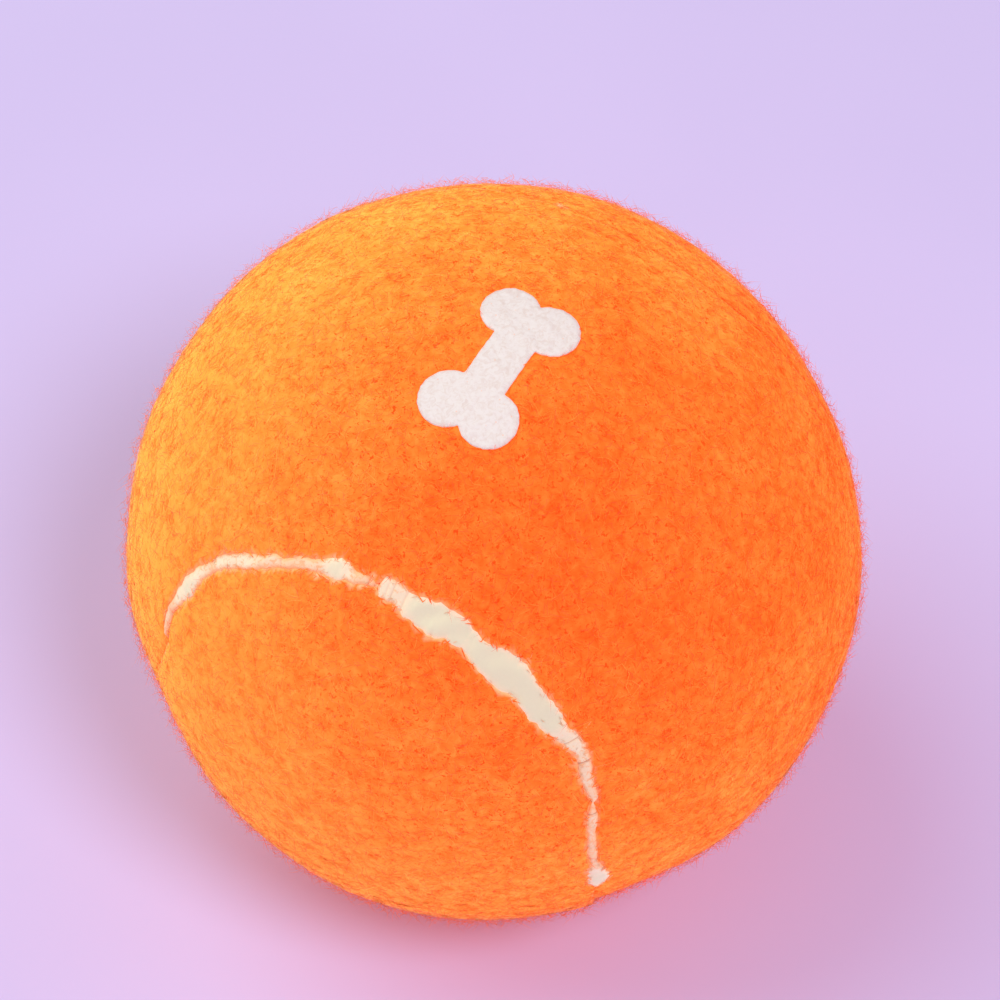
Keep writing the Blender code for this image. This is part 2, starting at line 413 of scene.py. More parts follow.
@dataclass(frozen=True)
class SeamLine:
    """The closed line on which the two felt panels meet, with the width that shows between them."""

    swing: float = 0.323
    rise: float = 0.914
    rise_fine: float = 0.029
    drift_once: tuple[float, float] = (6.17, 1.06)  # degrees
    drift_twice: tuple[float, float] = (-1.32, -0.88)
    samples: int = 500
    scallop: tuple[float, float] = (2.8 * MM, 0.11)  # size, and depth on a bead 1 mm wide
    fray: tuple[float, float] = (0.8 * MM, 0.04)
    front: tuple[float, float, float, float] = (0.50, 0.53, 0.75, 0.78)
    # Share of the way round, then how far the bead shows towards panel B and towards panel A, in
    # millimetres. The front, from 0.52 to 0.76, follows the lumps, necks and ends of the bead.
    reaches: tuple[tuple[float, float, float], ...] = (
        (0.0000, 0.25, 0.25), (0.0400, 0.10, 0.10), (0.0600, 0.00, 0.00), (0.1400, 0.00, 0.00),
        (0.1415, 0.20, 0.15), (0.1435, 0.25, 0.20), (0.1450, 0.00, 0.00), (0.2150, 0.00, 0.00),
        (0.2400, 0.30, 0.30), (0.2700, 0.40, 0.35), (0.3100, 0.65, 0.50), (0.3500, 0.90, 0.85),
        (0.3700, 0.70, 0.90), (0.4000, 0.95, 0.80), (0.4300, 0.55, 0.60), (0.4600, 0.40, 0.40),
        (0.4800, 0.10, 0.10), (0.4900, 0.25, -0.20), (0.5030, 1.35, -1.30), (0.5120, 1.70, -1.70),
        (0.5195, 1.75, -1.60), (0.5225, 1.30, -0.80), (0.5275, 0.90, 0.05), (0.5325, 0.55, 0.15),
        (0.5450, 0.70, 1.00), (0.5525, 0.10, 1.10), (0.5625, -0.10, 0.90), (0.5650, -0.10, 1.25),
        (0.5800, 0.40, 0.75), (0.5850, 0.40, 0.55), (0.5900, 0.25, 0.70), (0.5925, 0.25, 0.30),
        (0.5975, 0.20, 0.70), (0.6050, 0.15, 0.80), (0.6075, 0.35, 1.20), (0.6100, 0.40, 1.30),
        (0.6125, 0.05, 1.30), (0.6150, 0.20, 0.70), (0.6175, -0.10, 0.80), (0.6215, -0.10, 0.40),
        (0.6225, 0.50, 1.30), (0.6275, 0.55, 1.20), (0.6300, 1.00, 0.85), (0.6375, 1.35, 1.30),
        (0.6400, 1.35, 1.30), (0.6425, 0.95, 1.40), (0.6450, 0.90, 1.35), (0.6475, 0.75, 0.95),
        (0.6525, 1.30, 0.65), (0.6575, 1.50, 1.25), (0.6625, 1.70, 1.50), (0.6700, 1.15, 0.95),
        (0.6775, 1.45, 0.85), (0.6800, 1.15, 1.05), (0.6850, 1.05, 0.70), (0.6875, 0.55, 0.75),
        (0.6900, 0.40, 1.10), (0.6975, -0.20, 1.25), (0.7075, 0.35, 0.65), (0.7150, -0.10, 0.75),
        (0.7175, 0.00, 0.25), (0.7225, 0.60, 0.35), (0.7300, 0.70, -0.20), (0.7375, 0.90, -0.15),
        (0.7450, 0.60, -0.10), (0.7475, 0.55, 0.20), (0.7500, 0.85, 0.50), (0.7550, 0.75, 0.95),
        (0.7575, 0.70, 1.00), (0.7605, 0.60, 0.80), (0.7630, 0.00, 0.00), (0.8000, 0.00, 0.00),
        (0.8300, 0.20, 0.20), (0.8600, 0.50, 0.40), (0.8900, 0.70, 0.60), (0.9200, 0.50, 0.65),
        (0.9500, 0.40, 0.40), (1.0000, 0.25, 0.25),
    )

    def centre(self, turns: np.ndarray) -> np.ndarray:
        """Follows the line.

        Args:
            turns: shares of the way round.

        Returns:
            The line's direction from the ball's centre at each.
        """
        here, across = self.true_course(turns)
        angle = 2 * math.pi * turns
        degrees = self.drift_once[0] * np.cos(angle) + self.drift_once[1] * np.sin(angle)
        degrees += self.drift_twice[0] * np.cos(2 * angle)
        degrees += self.drift_twice[1] * np.sin(2 * angle)
        return unit(here + across * np.radians(degrees)[:, None])

    def true_course(self, turns: np.ndarray) -> tuple[np.ndarray, np.ndarray]:
        """Follows the line before its drift.

        Args:
            turns: shares of the way round.

        Returns:
            Its direction from the ball's centre at each, and its sideways direction.
        """
        small = 0.0025
        here = self.course_point(turns)
        along = unit(self.course_point(turns + small) - self.course_point(turns - small))
        return here, unit(np.cross(here, along))

    def course_point(self, turns: np.ndarray) -> np.ndarray:
        """Follows the plain curve that the line is made from.

        Args:
            turns: shares of the way round.

        Returns:
            Its direction from the ball's centre at each.
        """
        angle = 2 * math.pi * turns
        x = np.cos(angle) + self.swing * np.cos(3 * angle)
        y = np.sin(angle) - self.swing * np.sin(3 * angle)
        z = self.rise * np.sin(2 * angle) + self.rise_fine * np.sin(6 * angle)
        return unit(np.stack([x, y, z], axis=1))

    def rails(self, turns: np.ndarray) -> tuple[np.ndarray, np.ndarray]:
        """Follows the line with its sideways direction.

        Args:
            turns: shares of the way round.

        Returns:
            Its direction from the ball's centre at each, and its sideways direction, towards
            panel A.
        """
        small = 0.0005
        here = self.centre(turns)
        along = unit(self.centre(turns + small) - self.centre(turns - small))
        return here, unit(np.cross(here, along)) * self.side_of_a()

    def side_of_a(self) -> float:
        """Finds on which side of the line panel A lies.

        Returns:
            1 if the cross product of the line with its course points to panel A, else -1.
        """
        top = 0.125  # an eighth of the way round, where the line is at its highest
        here = self.centre(np.array([top]))
        after = self.centre(np.array([top + 0.001]))
        across = np.cross(here[0], after[0] - here[0])
        return 1.0 if across[2] > 0 else -1.0

    @lru_cache(maxsize=None)
    def table(self) -> tuple[np.ndarray, ...]:
        """Follows the line in even steps, once for all later searches.

        Returns:
            The shares of the way round, and the line, its direction towards panel A, its course
            and its length for one turn at each.
        """
        turns = (np.arange(self.samples) + 0.5) / self.samples
        here, across = self.rails(turns)
        gap = 0.5 / self.samples
        along = self.centre(turns + gap) - self.centre(turns - gap)
        speed = np.linalg.norm(along, axis=1) / (2 * gap)
        return turns, here, across, unit(along), speed

    def locate(self, points: np.ndarray) -> tuple[np.ndarray, np.ndarray]:
        """Finds points relative to the line.

        Args:
            points: rows in the ball's frame, at any radius.

        Returns:
            The nearest share of the way round, and the distance from the line over the ball's
            surface in metres, above 0 towards panel A.
        """
        turns, here, across, along, speed = self.table()
        ways = unit(points)
        nearest = np.empty(len(ways), np.int64)
        lines = here.T.astype(np.float32)
        for start in range(0, len(ways), 20000):
            rows = slice(start, start + 20000)
            nearest[rows] = (ways[rows].astype(np.float32) @ lines).argmax(axis=1)
        off = (ways * across[nearest]).sum(axis=1)
        ahead = (ways * along[nearest]).sum(axis=1) / speed[nearest]
        return (turns[nearest] + ahead) % 1.0, np.arcsin(np.clip(off, -1, 1)) * BALL_RADIUS

    def reach(self, turns: np.ndarray, panel: Panel) -> np.ndarray:
        """Reads how far the bead shows towards a panel, before scallops and frays.

        Args:
            turns: shares of the way round.
            panel: which panel.

        Returns:
            The distance from the line at each, in metres.
        """
        knots = np.array(self.reaches)
        column = 2 if panel is Panel.A else 1
        return np.interp(turns, knots[:, 0], knots[:, column]) * MM

    def width(self, turns: np.ndarray) -> np.ndarray:
        """The bead's plain width at each share of the way round, in metres."""
        return self.reach(turns, Panel.A) + self.reach(turns, Panel.B)

    def open_at(self, turns: np.ndarray) -> np.ndarray:
        """From 0 where the panels meet to 1 where the bead shows between them."""
        return eased(self.width(turns), 0.08 * MM, 0.50 * MM)

    @lru_cache(maxsize=None)
    def edge_table(self, panel: Panel) -> tuple[np.ndarray, np.ndarray]:
        """Works out how far a panel's cut edge lies from the line, with its scallops and frays.

        Args:
            panel: which panel.

        Returns:
            Even shares of the way round, and the distance at each in metres.
        """
        turns = np.linspace(0, 1, 6001)
        here = self.centre(turns) * BALL_RADIUS
        front = eased(turns, *self.front[:2]) * (1 - eased(turns, *self.front[2:]))
        wide = np.clip(self.width(turns) / MM, 0.04, 1.4)
        edges = {}
        for each, seed in ((Panel.A, 11), (Panel.B, 12)):
            scallop = Ripple(self.scallop[0], seed).at(here) * self.scallop[1] * (1 - front)
            fray = Ripple(self.fray[0], seed + 10).at(here) * self.fray[1]
            edges[each] = self.reach(turns, each) + (scallop + fray) * wide * MM
        least_gap = 0.03 * MM
        lacking = np.maximum(least_gap - edges[Panel.A] - edges[Panel.B], 0) / 2
        return turns, edges[panel] + lacking

    def edge(self, turns: np.ndarray, panel: Panel) -> np.ndarray:
        """How far a panel's cut edge lies from the line at each share of the way round."""
        return np.interp(turns, *self.edge_table(panel))


SEAM = SeamLine()


def panel_place(points: np.ndarray, panel: Panel) -> tuple[np.ndarray, np.ndarray]:
    """Finds points relative to a panel's cut edge.

    Args:
        points: rows in the ball's frame.
        panel: whose edge.

    Returns:
        How far the points lie inside the edge, over the ball's surface, in metres, and how open
        the seam is beside them.
    """
    turns, off = SEAM.locate(points)
    side = 1.0 if panel is Panel.A else -1.0
    return side * off - SEAM.edge(turns, panel), SEAM.open_at(turns)


def panel_depth(points: np.ndarray, panel: Panel) -> np.ndarray:
    """How far points lie inside a panel's cut edge, over the ball's surface, in metres."""
    return panel_place(points, panel)[0]


# The print's outline


@dataclass(frozen=True)
class BoneOutline:
    """A plain bone: two round lobes at each end of a shaft, placed near the ball's pole."""

    length: float = 9.8 * MM  # between the centres of its end lobes
    lobe_radius: float = 2.5 * MM
    lobe_offset: float = 1.9 * MM
    shaft_half: float = 1.9 * MM
    polar: float = 6.2
    azimuth: float = -161.5
    heading: float = 205.0

    def place(self) -> np.ndarray:
        """Places the print.

        Returns:
            The turn from the print's own plane to the ball's frame.
        """
        turn = (
            Matrix.Rotation(math.radians(self.azimuth), 3, "Z")
            @ Matrix.Rotation(math.radians(self.polar), 3, "Y")
            @ Matrix.Rotation(math.radians(self.heading), 3, "Z")
        )
        return np.array(turn)

    def inside(self, flat: np.ndarray) -> np.ndarray:
        """Measures points against the outline.

        Args:
            flat: rows of two coordinates in the print's plane.

        Returns:
            How far each lies inside the outline, below 0 outside it.
        """
        x, y = np.abs(flat[:, 0]), np.abs(flat[:, 1])
        lobe = self.lobe_radius - np.hypot(x - self.length / 2, y - self.lobe_offset)
        shaft = np.minimum(self.length / 2 - x, self.shaft_half - y)
        soft = 0.12 * MM
        mixed = np.maximum(lobe, shaft)
        blend = np.maximum(soft - np.abs(lobe - shaft), 0) ** 2 / (4 * soft)
        return mixed + blend

    def inside_on_ball(self, points: np.ndarray) -> np.ndarray:
        """Measures points on the ball against the outline.

        Args:
            points: rows in the ball's frame, at any radius.

        Returns:
            How far each lies inside the outline, far below 0 on the ball's other side.
        """
        local = unit(points) @ self.place() * BALL_RADIUS
        depth = self.inside(local[:, :2])
        return np.where(local[:, 2] > 0, depth, -BALL_RADIUS)


BONE = BoneOutline()


# Finishes


@dataclass(frozen=True)
class OrangeDye:
    """The felt's fluorescent orange dye, the same in the cloth and in its loose fibres.

    It gives back more red than falls on it, as such dyes do, so its red never looks shaded. The
    tone changes from tuft to tuft. Painted light makes it lighter and yellower towards one side of
    the ball, and painted shade makes it redder and darker towards the other; painted shade also
    darkens it in the pits between tufts, less so on the lighter side.
    """

    deep: str = "FF6C22"
    body: str = "FF8430"
    light: str = "FF9B40"
    # painted shade in the pits between tufts
    pit_shade_tone: str = "DC4E14"
    red_gain: float = 1.25
    # Painted light: the way towards the side painted lighter and yellower; the other side is
    # painted redder and darker.
    painted_light_way: tuple[float, float, float] = (-0.83, 0.25, -0.50)  # towards the yellower side
    painted_shade_tint: Colour = (1.0, 0.61, 0.53, 1.0)
    painted_light_tint: Colour = (1.0, 1.36, 1.5, 1.0)
    # The tufts are made plainer towards the side painted lighter.
    evened: float = 0.9  # how much plainer the tufts are at the yellower side's edge
    evened_edges: tuple[float, float] = (-0.3 * BALL_RADIUS, 0.7 * BALL_RADIUS)
    patch: float = 7.0 * MM
    patch_share: float = 0.35  # of the tone's change
    tuft: float = 0.9 * MM
    tuft_share: float = 0.65
    pit: float = 0.34 * MM
    pit_edges: tuple[float, float] = (0.40, 0.30)  # its noise where a pit starts and is full
    pit_share: float = 0.95

    def colour(
        self, tree: bpy.types.NodeTree, place: bpy.types.NodeSocket, tone: float = 0.5
    ) -> bpy.types.NodeSocket:
        """Builds the dye's nodes.

        Args:
            tree: the material's node tree.
            place: Object coordinates.
            tone: the middle tone, to which each fibre's own "tone" attribute is added.

        Returns:
            The colour socket.
        """
        patch = add_node(
            tree, "ShaderNodeTexNoise",
            {"Vector": place, "Scale": 1 / self.patch, "Detail": 2.0, "Roughness": 0.5},
        )
        tuft = add_node(
            tree, "ShaderNodeTexNoise",
            {"Vector": place, "Scale": 1 / self.tuft, "Detail": 3.0, "Roughness": 0.6,
             "Distortion": 0.6},
        )
        fibre = add_node(tree, "ShaderNodeAttribute", attribute_name="tone")
        slow = add_node(
            tree, "ShaderNodeMath",
            {0: patch.outputs["Fac"], 1: self.patch_share, 2: tone - 0.5},
            operation="MULTIPLY_ADD",
        )
        fine = add_node(
            tree, "ShaderNodeMath",
            {0: tuft.outputs["Fac"], 1: self.tuft_share, 2: slow.outputs[0]},
            operation="MULTIPLY_ADD",
        )
        mixed = add_node(
            tree, "ShaderNodeMath",
            {0: fine.outputs[0], 1: fibre.outputs["Fac"]},
            operation="ADD",
        )
        dye = add_node(
            tree, "ShaderNodeValToRGB",
            {"Fac": mixed.outputs[0]},
            stops=((0.30, self.deep), (0.50, self.body), (0.70, self.light)),
        )
        middle = add_node(
            tree, "ShaderNodeVectorMath",
            {0: place, 1: (0.0, 0.0, BALL_HEIGHT)},
            operation="SUBTRACT",
        )
        lean = add_node(
            tree, "ShaderNodeVectorMath",
            {0: middle.outputs["Vector"], 1: self.painted_light_way},
            operation="DOT_PRODUCT",
        )
        share = add_node(
            tree, "ShaderNodeMapRange",
            {"Value": lean.outputs["Value"], "From Min": -BALL_RADIUS, "From Max": BALL_RADIUS,
             "To Min": 0.0, "To Max": 1.0},
        )
        # Painted light and shade: lighter and yellower towards one side of the ball, redder and
        # darker towards the other.
        drift = add_node(
            tree, "ShaderNodeMix",
            {MIX_SHARE: share.outputs[0], MIX_A: self.painted_shade_tint, MIX_B: self.painted_light_tint},
            data_type="RGBA",
        )
        # The tufts and the painted pit shade are made plainer towards the side painted lighter.
        lighter_side_plainness = add_node(
            tree, "ShaderNodeMapRange",
            {"Value": lean.outputs["Value"], "From Min": self.evened_edges[0],
             "From Max": self.evened_edges[1], "To Min": 0.0, "To Max": self.evened},
        )
        even = add_node(
            tree, "ShaderNodeMix",
            {MIX_SHARE: lighter_side_plainness.outputs[0], MIX_A: dye.outputs["Color"],
             MIX_B: to_linear(self.body)},
            data_type="RGBA",
        )
        painted_side_light = add_node(
            tree, "ShaderNodeMix",
            {MIX_SHARE: 1.0, MIX_A: even.outputs[MIX_RESULT],
             MIX_B: drift.outputs[MIX_RESULT]},
            data_type="RGBA", blend_type="MULTIPLY",
        )
        # Painted shade: a deeper red in the pits between tufts, weaker on the side painted lighter.
        pits = add_node(
            tree, "ShaderNodeTexNoise",
            {"Vector": place, "Scale": 1 / self.pit, "Detail": 1.0, "Roughness": 0.5,
             "Distortion": 1.2},
        )
        sunk = add_node(
            tree, "ShaderNodeMapRange",
            {"Value": pits.outputs["Fac"], "From Min": self.pit_edges[0],
             "From Max": self.pit_edges[1], "To Min": 0.0, "To Max": self.pit_share},
        )
        pit_shade_kept = add_node(
            tree, "ShaderNodeMath", {0: 1.0, 1: lighter_side_plainness.outputs[0]}, operation="SUBTRACT"
        )
        shown = add_node(
            tree, "ShaderNodeMath",
            {0: sunk.outputs[0], 1: pit_shade_kept.outputs[0]},
            operation="MULTIPLY",
        )
        pit_shaded = add_node(
            tree, "ShaderNodeMix",
            {MIX_SHARE: shown.outputs[0], MIX_A: painted_side_light.outputs[MIX_RESULT],
             MIX_B: to_linear(self.pit_shade_tone)},
            data_type="RGBA",
        )
        bright = add_node(
            tree, "ShaderNodeMix",
            {MIX_SHARE: 1.0, MIX_A: pit_shaded.outputs[MIX_RESULT],
             MIX_B: (self.red_gain, 1.0, 1.0, 1.0)},
            data_type="RGBA", blend_type="MULTIPLY",
        )
        return bright.outputs[MIX_RESULT]


@dataclass(frozen=True)
class NeedledFelt:
    """Needled wool and nylon felt: matte, with pits and tufts, and a pale bloom at its rim.

    The cloth is woven, then needled and brushed until its fibres stand in a curled nap. No fibre
    shines. The pale bloom at its rim is painted: the light that the nap scatters at a grazing angle
    is painted into its colour as a sheen that lightens it towards the outline, with a painted rim
    light at the very edge.
    """

    name: str
    dye: OrangeDye = OrangeDye()
    tone: float = 0.5
    smear: str = "FFCC98"
    # painted sheen: the colour is multiplied by this towards the outline
    painted_sheen_gain: Colour = (1.5, 3.0, 3.2, 1.0)
    bump: float = 0.1
    veil: float = 1.0
    # painted rim light at the very edge
    rim: str = "FFCB98"  # the nap's outermost tips, seen against the light
    rim_edges: tuple[float, float] = (0.86, 0.97)
    rim_share: float = 0.55
    curl: float = 0.7 * MM  # size of the bump's pattern
    curl_depth: float = 0.12 * MM
    # painted glow: an even red emission that lifts the felt's shaded parts
    painted_glow: float = 0.16
    painted_glow_tone: str = "FF3E08"

    def make(self) -> bpy.types.Material:
        """Builds the material.

        Returns:
            The material.
        """
        material, tree, shader, place = new_material(self.name)
        dyed = self.dye.colour(tree, place, self.tone)
        # Painted sheen and painted rim light, by how far the surface turns away from the view.
        grazing = add_node(tree, "ShaderNodeLayerWeight", {"Blend": 0.5})
        sheen = add_node(
            tree, "ShaderNodeMix",
            {MIX_SHARE: grazing.outputs["Facing"], MIX_A: dyed, MIX_B: self.painted_sheen_gain},
            data_type="RGBA", blend_type="MULTIPLY",
        )
        painted_rim_light = add_node(
            tree, "ShaderNodeMapRange",
            {"Value": grazing.outputs["Facing"], "From Min": self.rim_edges[0],
             "From Max": self.rim_edges[1], "To Min": 0.0, "To Max": self.rim_share},
        )
        rimmed = add_node(
            tree, "ShaderNodeMix",
            {MIX_SHARE: painted_rim_light.outputs[0], MIX_A: sheen.outputs[MIX_RESULT],
             MIX_B: to_linear(self.rim)},
            data_type="RGBA",
        )
        smeared = add_node(tree, "ShaderNodeAttribute", attribute_name="smear")
        coloured = add_node(
            tree, "ShaderNodeMix",
            {MIX_SHARE: smeared.outputs["Fac"], MIX_A: rimmed.outputs[MIX_RESULT],
             MIX_B: to_linear(self.smear)},
            data_type="RGBA",
        )
        tree.links.new(coloured.outputs[MIX_RESULT], shader.inputs["Base Color"])
        # Painted glow: an even emission, though the felt is no lamp.
        shader.inputs["Emission Color"].default_value = to_linear(self.painted_glow_tone)
        shader.inputs["Emission Strength"].default_value = self.painted_glow
        if self.bump:
            curls = add_node(
                tree, "ShaderNodeTexNoise",
                {"Vector": place, "Scale": 1 / self.curl, "Detail": 3.0, "Distortion": 2.0},
            )
            relief = add_node(
                tree, "ShaderNodeBump",
                {"Strength": self.bump, "Distance": self.curl_depth,
                 "Height": curls.outputs["Fac"]},
            )
            tree.links.new(relief.outputs["Normal"], shader.inputs["Normal"])
        shader.inputs["Roughness"].default_value = 1.0
        shader.inputs["Specular IOR Level"].default_value = 0.05
        shader.inputs["Alpha"].default_value = self.veil
        return material


@dataclass(frozen=True)
class SeamRubber:
    """Cream natural rubber, pressed into the joint and cured: smooth, matte, a little wavy.

    Where the bead is thin it soaks into the fibres beside it, which turns it pinker. A painted
    sheen lightens it towards its outline, and painted shade darkens it along its splits.
    """

    name: str = "cured_seam_rubber_cream"
    cream: str = "ECDFBC"
    pink: str = "FBE1BE"
    peach: str = "FFBE8C"
    # painted shade along the bead's splits
    crack_shade: str = "D98A6C"
    mottle: float = 1.5 * MM
    streak: float = 0.35 * MM
    grain: float = 0.25 * MM
    # painted sheen: the colour is multiplied by this towards the outline
    painted_sheen_gain: Colour = (1.45, 1.65, 1.5, 1.0)

    def make(self) -> bpy.types.Material:
        """Builds the material.

        Returns:
            The material.
        """
        material, tree, shader, place = new_material(self.name)
        soaked = add_node(tree, "ShaderNodeAttribute", attribute_name="soak")
        crack_shade_mask = add_node(tree, "ShaderNodeAttribute", attribute_name="crack_shade")
        mottle = add_node(
            tree, "ShaderNodeTexNoise",
            {"Vector": place, "Scale": 1 / self.mottle, "Detail": 3.0, "Roughness": 0.6},
        )
        spread = add_node(
            tree, "ShaderNodeMath",
            {0: mottle.outputs["Fac"], 1: 0.4, 2: -0.2},
            operation="MULTIPLY_ADD",
        )
        streaks = add_node(
            tree, "ShaderNodeTexNoise",
            {"Vector": place, "Scale": 1 / self.streak, "Detail": 2.0, "Distortion": 1.0},
        )
        flecks = add_node(
            tree, "ShaderNodeMapRange",
            {"Value": streaks.outputs["Fac"], "From Min": 0.52, "From Max": 0.68,
             "To Min": 0.0, "To Max": 0.6},
        )
        soaked_flecks = add_node(
            tree, "ShaderNodeMath",
            {0: flecks.outputs[0], 1: soaked.outputs["Fac"]},
            operation="MULTIPLY",
        )
        uneven = add_node(
            tree, "ShaderNodeMath",
            {0: spread.outputs[0], 1: soaked_flecks.outputs[0]},
            operation="ADD",
        )
        share = add_node(
            tree, "ShaderNodeMath",
            {0: soaked.outputs["Fac"], 1: uneven.outputs[0]},
            operation="ADD", use_clamp=True,
        )
        tone = add_node(
            tree, "ShaderNodeValToRGB",
            {"Fac": share.outputs[0]},
            stops=((0.05, self.cream), (0.45, self.pink), (0.60, self.pink), (0.95, self.peach)),
        )
        # Painted shade: darker pinkish brown along the splits.
        lined = add_node(
            tree, "ShaderNodeMix",
            {MIX_SHARE: crack_shade_mask.outputs["Fac"], MIX_A: tone.outputs["Color"],
             MIX_B: to_linear(self.crack_shade)},
            data_type="RGBA",
        )
        grain = add_node(
            tree, "ShaderNodeTexNoise",
            {"Vector": place, "Scale": 1 / self.grain, "Detail": 2.0},
        )
        relief = add_node(
            tree, "ShaderNodeBump",
            {"Strength": 0.15, "Distance": 0.05 * MM, "Height": grain.outputs["Fac"]},
        )
        # Painted sheen towards the outline.
        grazing = add_node(tree, "ShaderNodeLayerWeight", {"Blend": 0.5})
        sheen = add_node(
            tree, "ShaderNodeMix",
            {MIX_SHARE: grazing.outputs["Facing"], MIX_A: lined.outputs[MIX_RESULT],
             MIX_B: self.painted_sheen_gain},
            data_type="RGBA", blend_type="MULTIPLY",
        )
        tree.links.new(sheen.outputs[MIX_RESULT], shader.inputs["Base Color"])
        tree.links.new(relief.outputs["Normal"], shader.inputs["Normal"])
        shader.inputs["Roughness"].default_value = 0.62
        shader.inputs["Specular IOR Level"].default_value = 0.3
        return material


@dataclass(frozen=True)
class TransferFilm:
    """White heat-transfer film, pressed hot into the nap: matte, its pores showing the felt."""

    name: str = "heat_transfer_film_white"
    white: str = "EEE2D9"
    shade: str = "E6D4C8"
    pore: str = "FFB488"
    grain: float = 0.5 * MM
    pore_pitch: float = 0.9 * MM

    def make(self) -> bpy.types.Material:
        """Builds the material.

        Returns:
            The material.
        """
        material, tree, shader, place = new_material(self.name)
        cloth = add_node(
            tree, "ShaderNodeTexNoise",
            {"Vector": place, "Scale": 1 / self.grain, "Detail": 4.0, "Roughness": 0.65,
             "Distortion": 1.2},
        )
        tone = add_node(
            tree, "ShaderNodeValToRGB",
            {"Fac": cloth.outputs["Fac"]},
            stops=((0.35, self.shade), (0.55, self.white)),
        )
        pores = add_node(
            tree, "ShaderNodeTexVoronoi", {"Vector": place, "Scale": 1 / self.pore_pitch}
        )
        open_pore = add_node(
            tree, "ShaderNodeMapRange",
            {"Value": pores.outputs["Distance"], "From Min": 0.10, "From Max": 0.05,
             "To Min": 0.0, "To Max": 0.5},
        )
        coloured = add_node(
            tree, "ShaderNodeMix",
            {MIX_SHARE: open_pore.outputs[0], MIX_A: tone.outputs["Color"],
             MIX_B: to_linear(self.pore)},
            data_type="RGBA",
        )
        relief = add_node(
            tree, "ShaderNodeBump",
            {"Strength": 0.3, "Distance": 0.06 * MM, "Height": cloth.outputs["Fac"]},
        )
        tree.links.new(coloured.outputs[MIX_RESULT], shader.inputs["Base Color"])
        tree.links.new(relief.outputs["Normal"], shader.inputs["Normal"])
        shader.inputs["Roughness"].default_value = 0.6
        shader.inputs["Specular IOR Level"].default_value = 0.35
        return material


@dataclass(frozen=True)
class HiddenRubber:
    """Rubber inside the ball, moulded or brushed on as cement: dull, with a mottled tone."""

    name: str
    dark: str
    pale: str
    roughness: float
    mottle: float
    bump: float

    def make(self) -> bpy.types.Material:
        """Builds the material.

        Returns:
            The material.
        """
        material, tree, shader, place = new_material(self.name)
        mottle = add_node(
            tree, "ShaderNodeTexNoise",
            {"Vector": place, "Scale": 1 / self.mottle, "Detail": 5.0, "Roughness": 0.6},
        )
        tone = add_node(
            tree, "ShaderNodeValToRGB",
            {"Fac": mottle.outputs["Fac"]},
            stops=((0.35, self.dark), (0.65, self.pale)),
        )
        relief = add_node(
            tree, "ShaderNodeBump",
            {"Strength": self.bump, "Distance": 0.05 * MM, "Height": mottle.outputs["Fac"]},
        )
        tree.links.new(tone.outputs["Color"], shader.inputs["Base Color"])
        tree.links.new(relief.outputs["Normal"], shader.inputs["Normal"])
        shader.inputs["Roughness"].default_value = self.roughness
        return material


@dataclass(frozen=True)
class TableCard:
    """Matte lilac card on a table: even, with the faintest drift in its tone."""

    name: str = "matte_card_lilac"
    low: str = "D8C8F0"
    high: str = "DACAF2"
    patch: float = 60 * MM

    def make(self) -> bpy.types.Material:
        """Builds the material.

        Returns:
            The material.
        """
        material, tree, shader, place = new_material(self.name)
        drift = add_node(
            tree, "ShaderNodeTexNoise",
            {"Vector": place, "Scale": 1 / self.patch, "Detail": 2.0},
        )
        tone = add_node(
            tree, "ShaderNodeValToRGB",
            {"Fac": drift.outputs["Fac"]},
            stops=((0.4, self.low), (0.6, self.high)),
        )
        tree.links.new(tone.outputs["Color"], shader.inputs["Base Color"])
        shader.inputs["Roughness"].default_value = 0.9
        shader.inputs["Specular IOR Level"].default_value = 0.15
        return material


# Fibres


def model_fibre(stations: Sequence[float]) -> tuple[np.ndarray, np.ndarray, np.ndarray]:
    """Models one straight fibre: a slender three-sided spindle with a ring at each station.

    Args:
        stations: where its rings lie, as shares of its length between the two tips.

    Returns:
        For each vertex, its place along the fibre and its sideways unit offset, and the faces.
    """
    deselect_all()
    bpy.ops.mesh.primitive_circle_add(
        vertices=3, radius=0.5, fill_type="NGON",
        location=(stations[0], 0, 0), rotation=(0, math.pi / 2, 0),
    )
    piece = bpy.context.object
    bpy.ops.object.transform_apply(location=True, rotation=True, scale=True)
    bpy.ops.object.mode_set(mode="EDIT")
    reach = [*stations[1:], 1.0]
    before = stations[0]
    for place in reach:
        bpy.ops.mesh.extrude_region_move(
            TRANSFORM_OT_translate={"value": (place - before, 0, 0)}
        )
        before = place
    bpy.ops.mesh.merge(type="CENTER")
    bpy.ops.object.mode_set(mode="OBJECT")
    mesh = piece.data
    first = np.array([abs(v.co.x - stations[0]) < 1e-4 for v in mesh.vertices])
    lid = np.array([all(first[v] for v in f.vertices) for f in mesh.polygons])
    select_faces(mesh, lid)
    bpy.ops.object.mode_set(mode="EDIT")
    bpy.ops.mesh.extrude_region_move(TRANSFORM_OT_translate={"value": (-stations[0], 0, 0)})
    bpy.ops.mesh.merge(type="CENTER")
    bpy.ops.mesh.select_all(action="SELECT")
    bpy.ops.mesh.quads_convert_to_tris()
    bpy.ops.mesh.normals_make_consistent(inside=False)
    bpy.ops.object.mode_set(mode="OBJECT")
    points = read_points(mesh)
    faces = np.array([list(f.vertices) for f in mesh.polygons])
    bpy.data.objects.remove(piece)
    return points[:, 0], points[:, 1:], faces


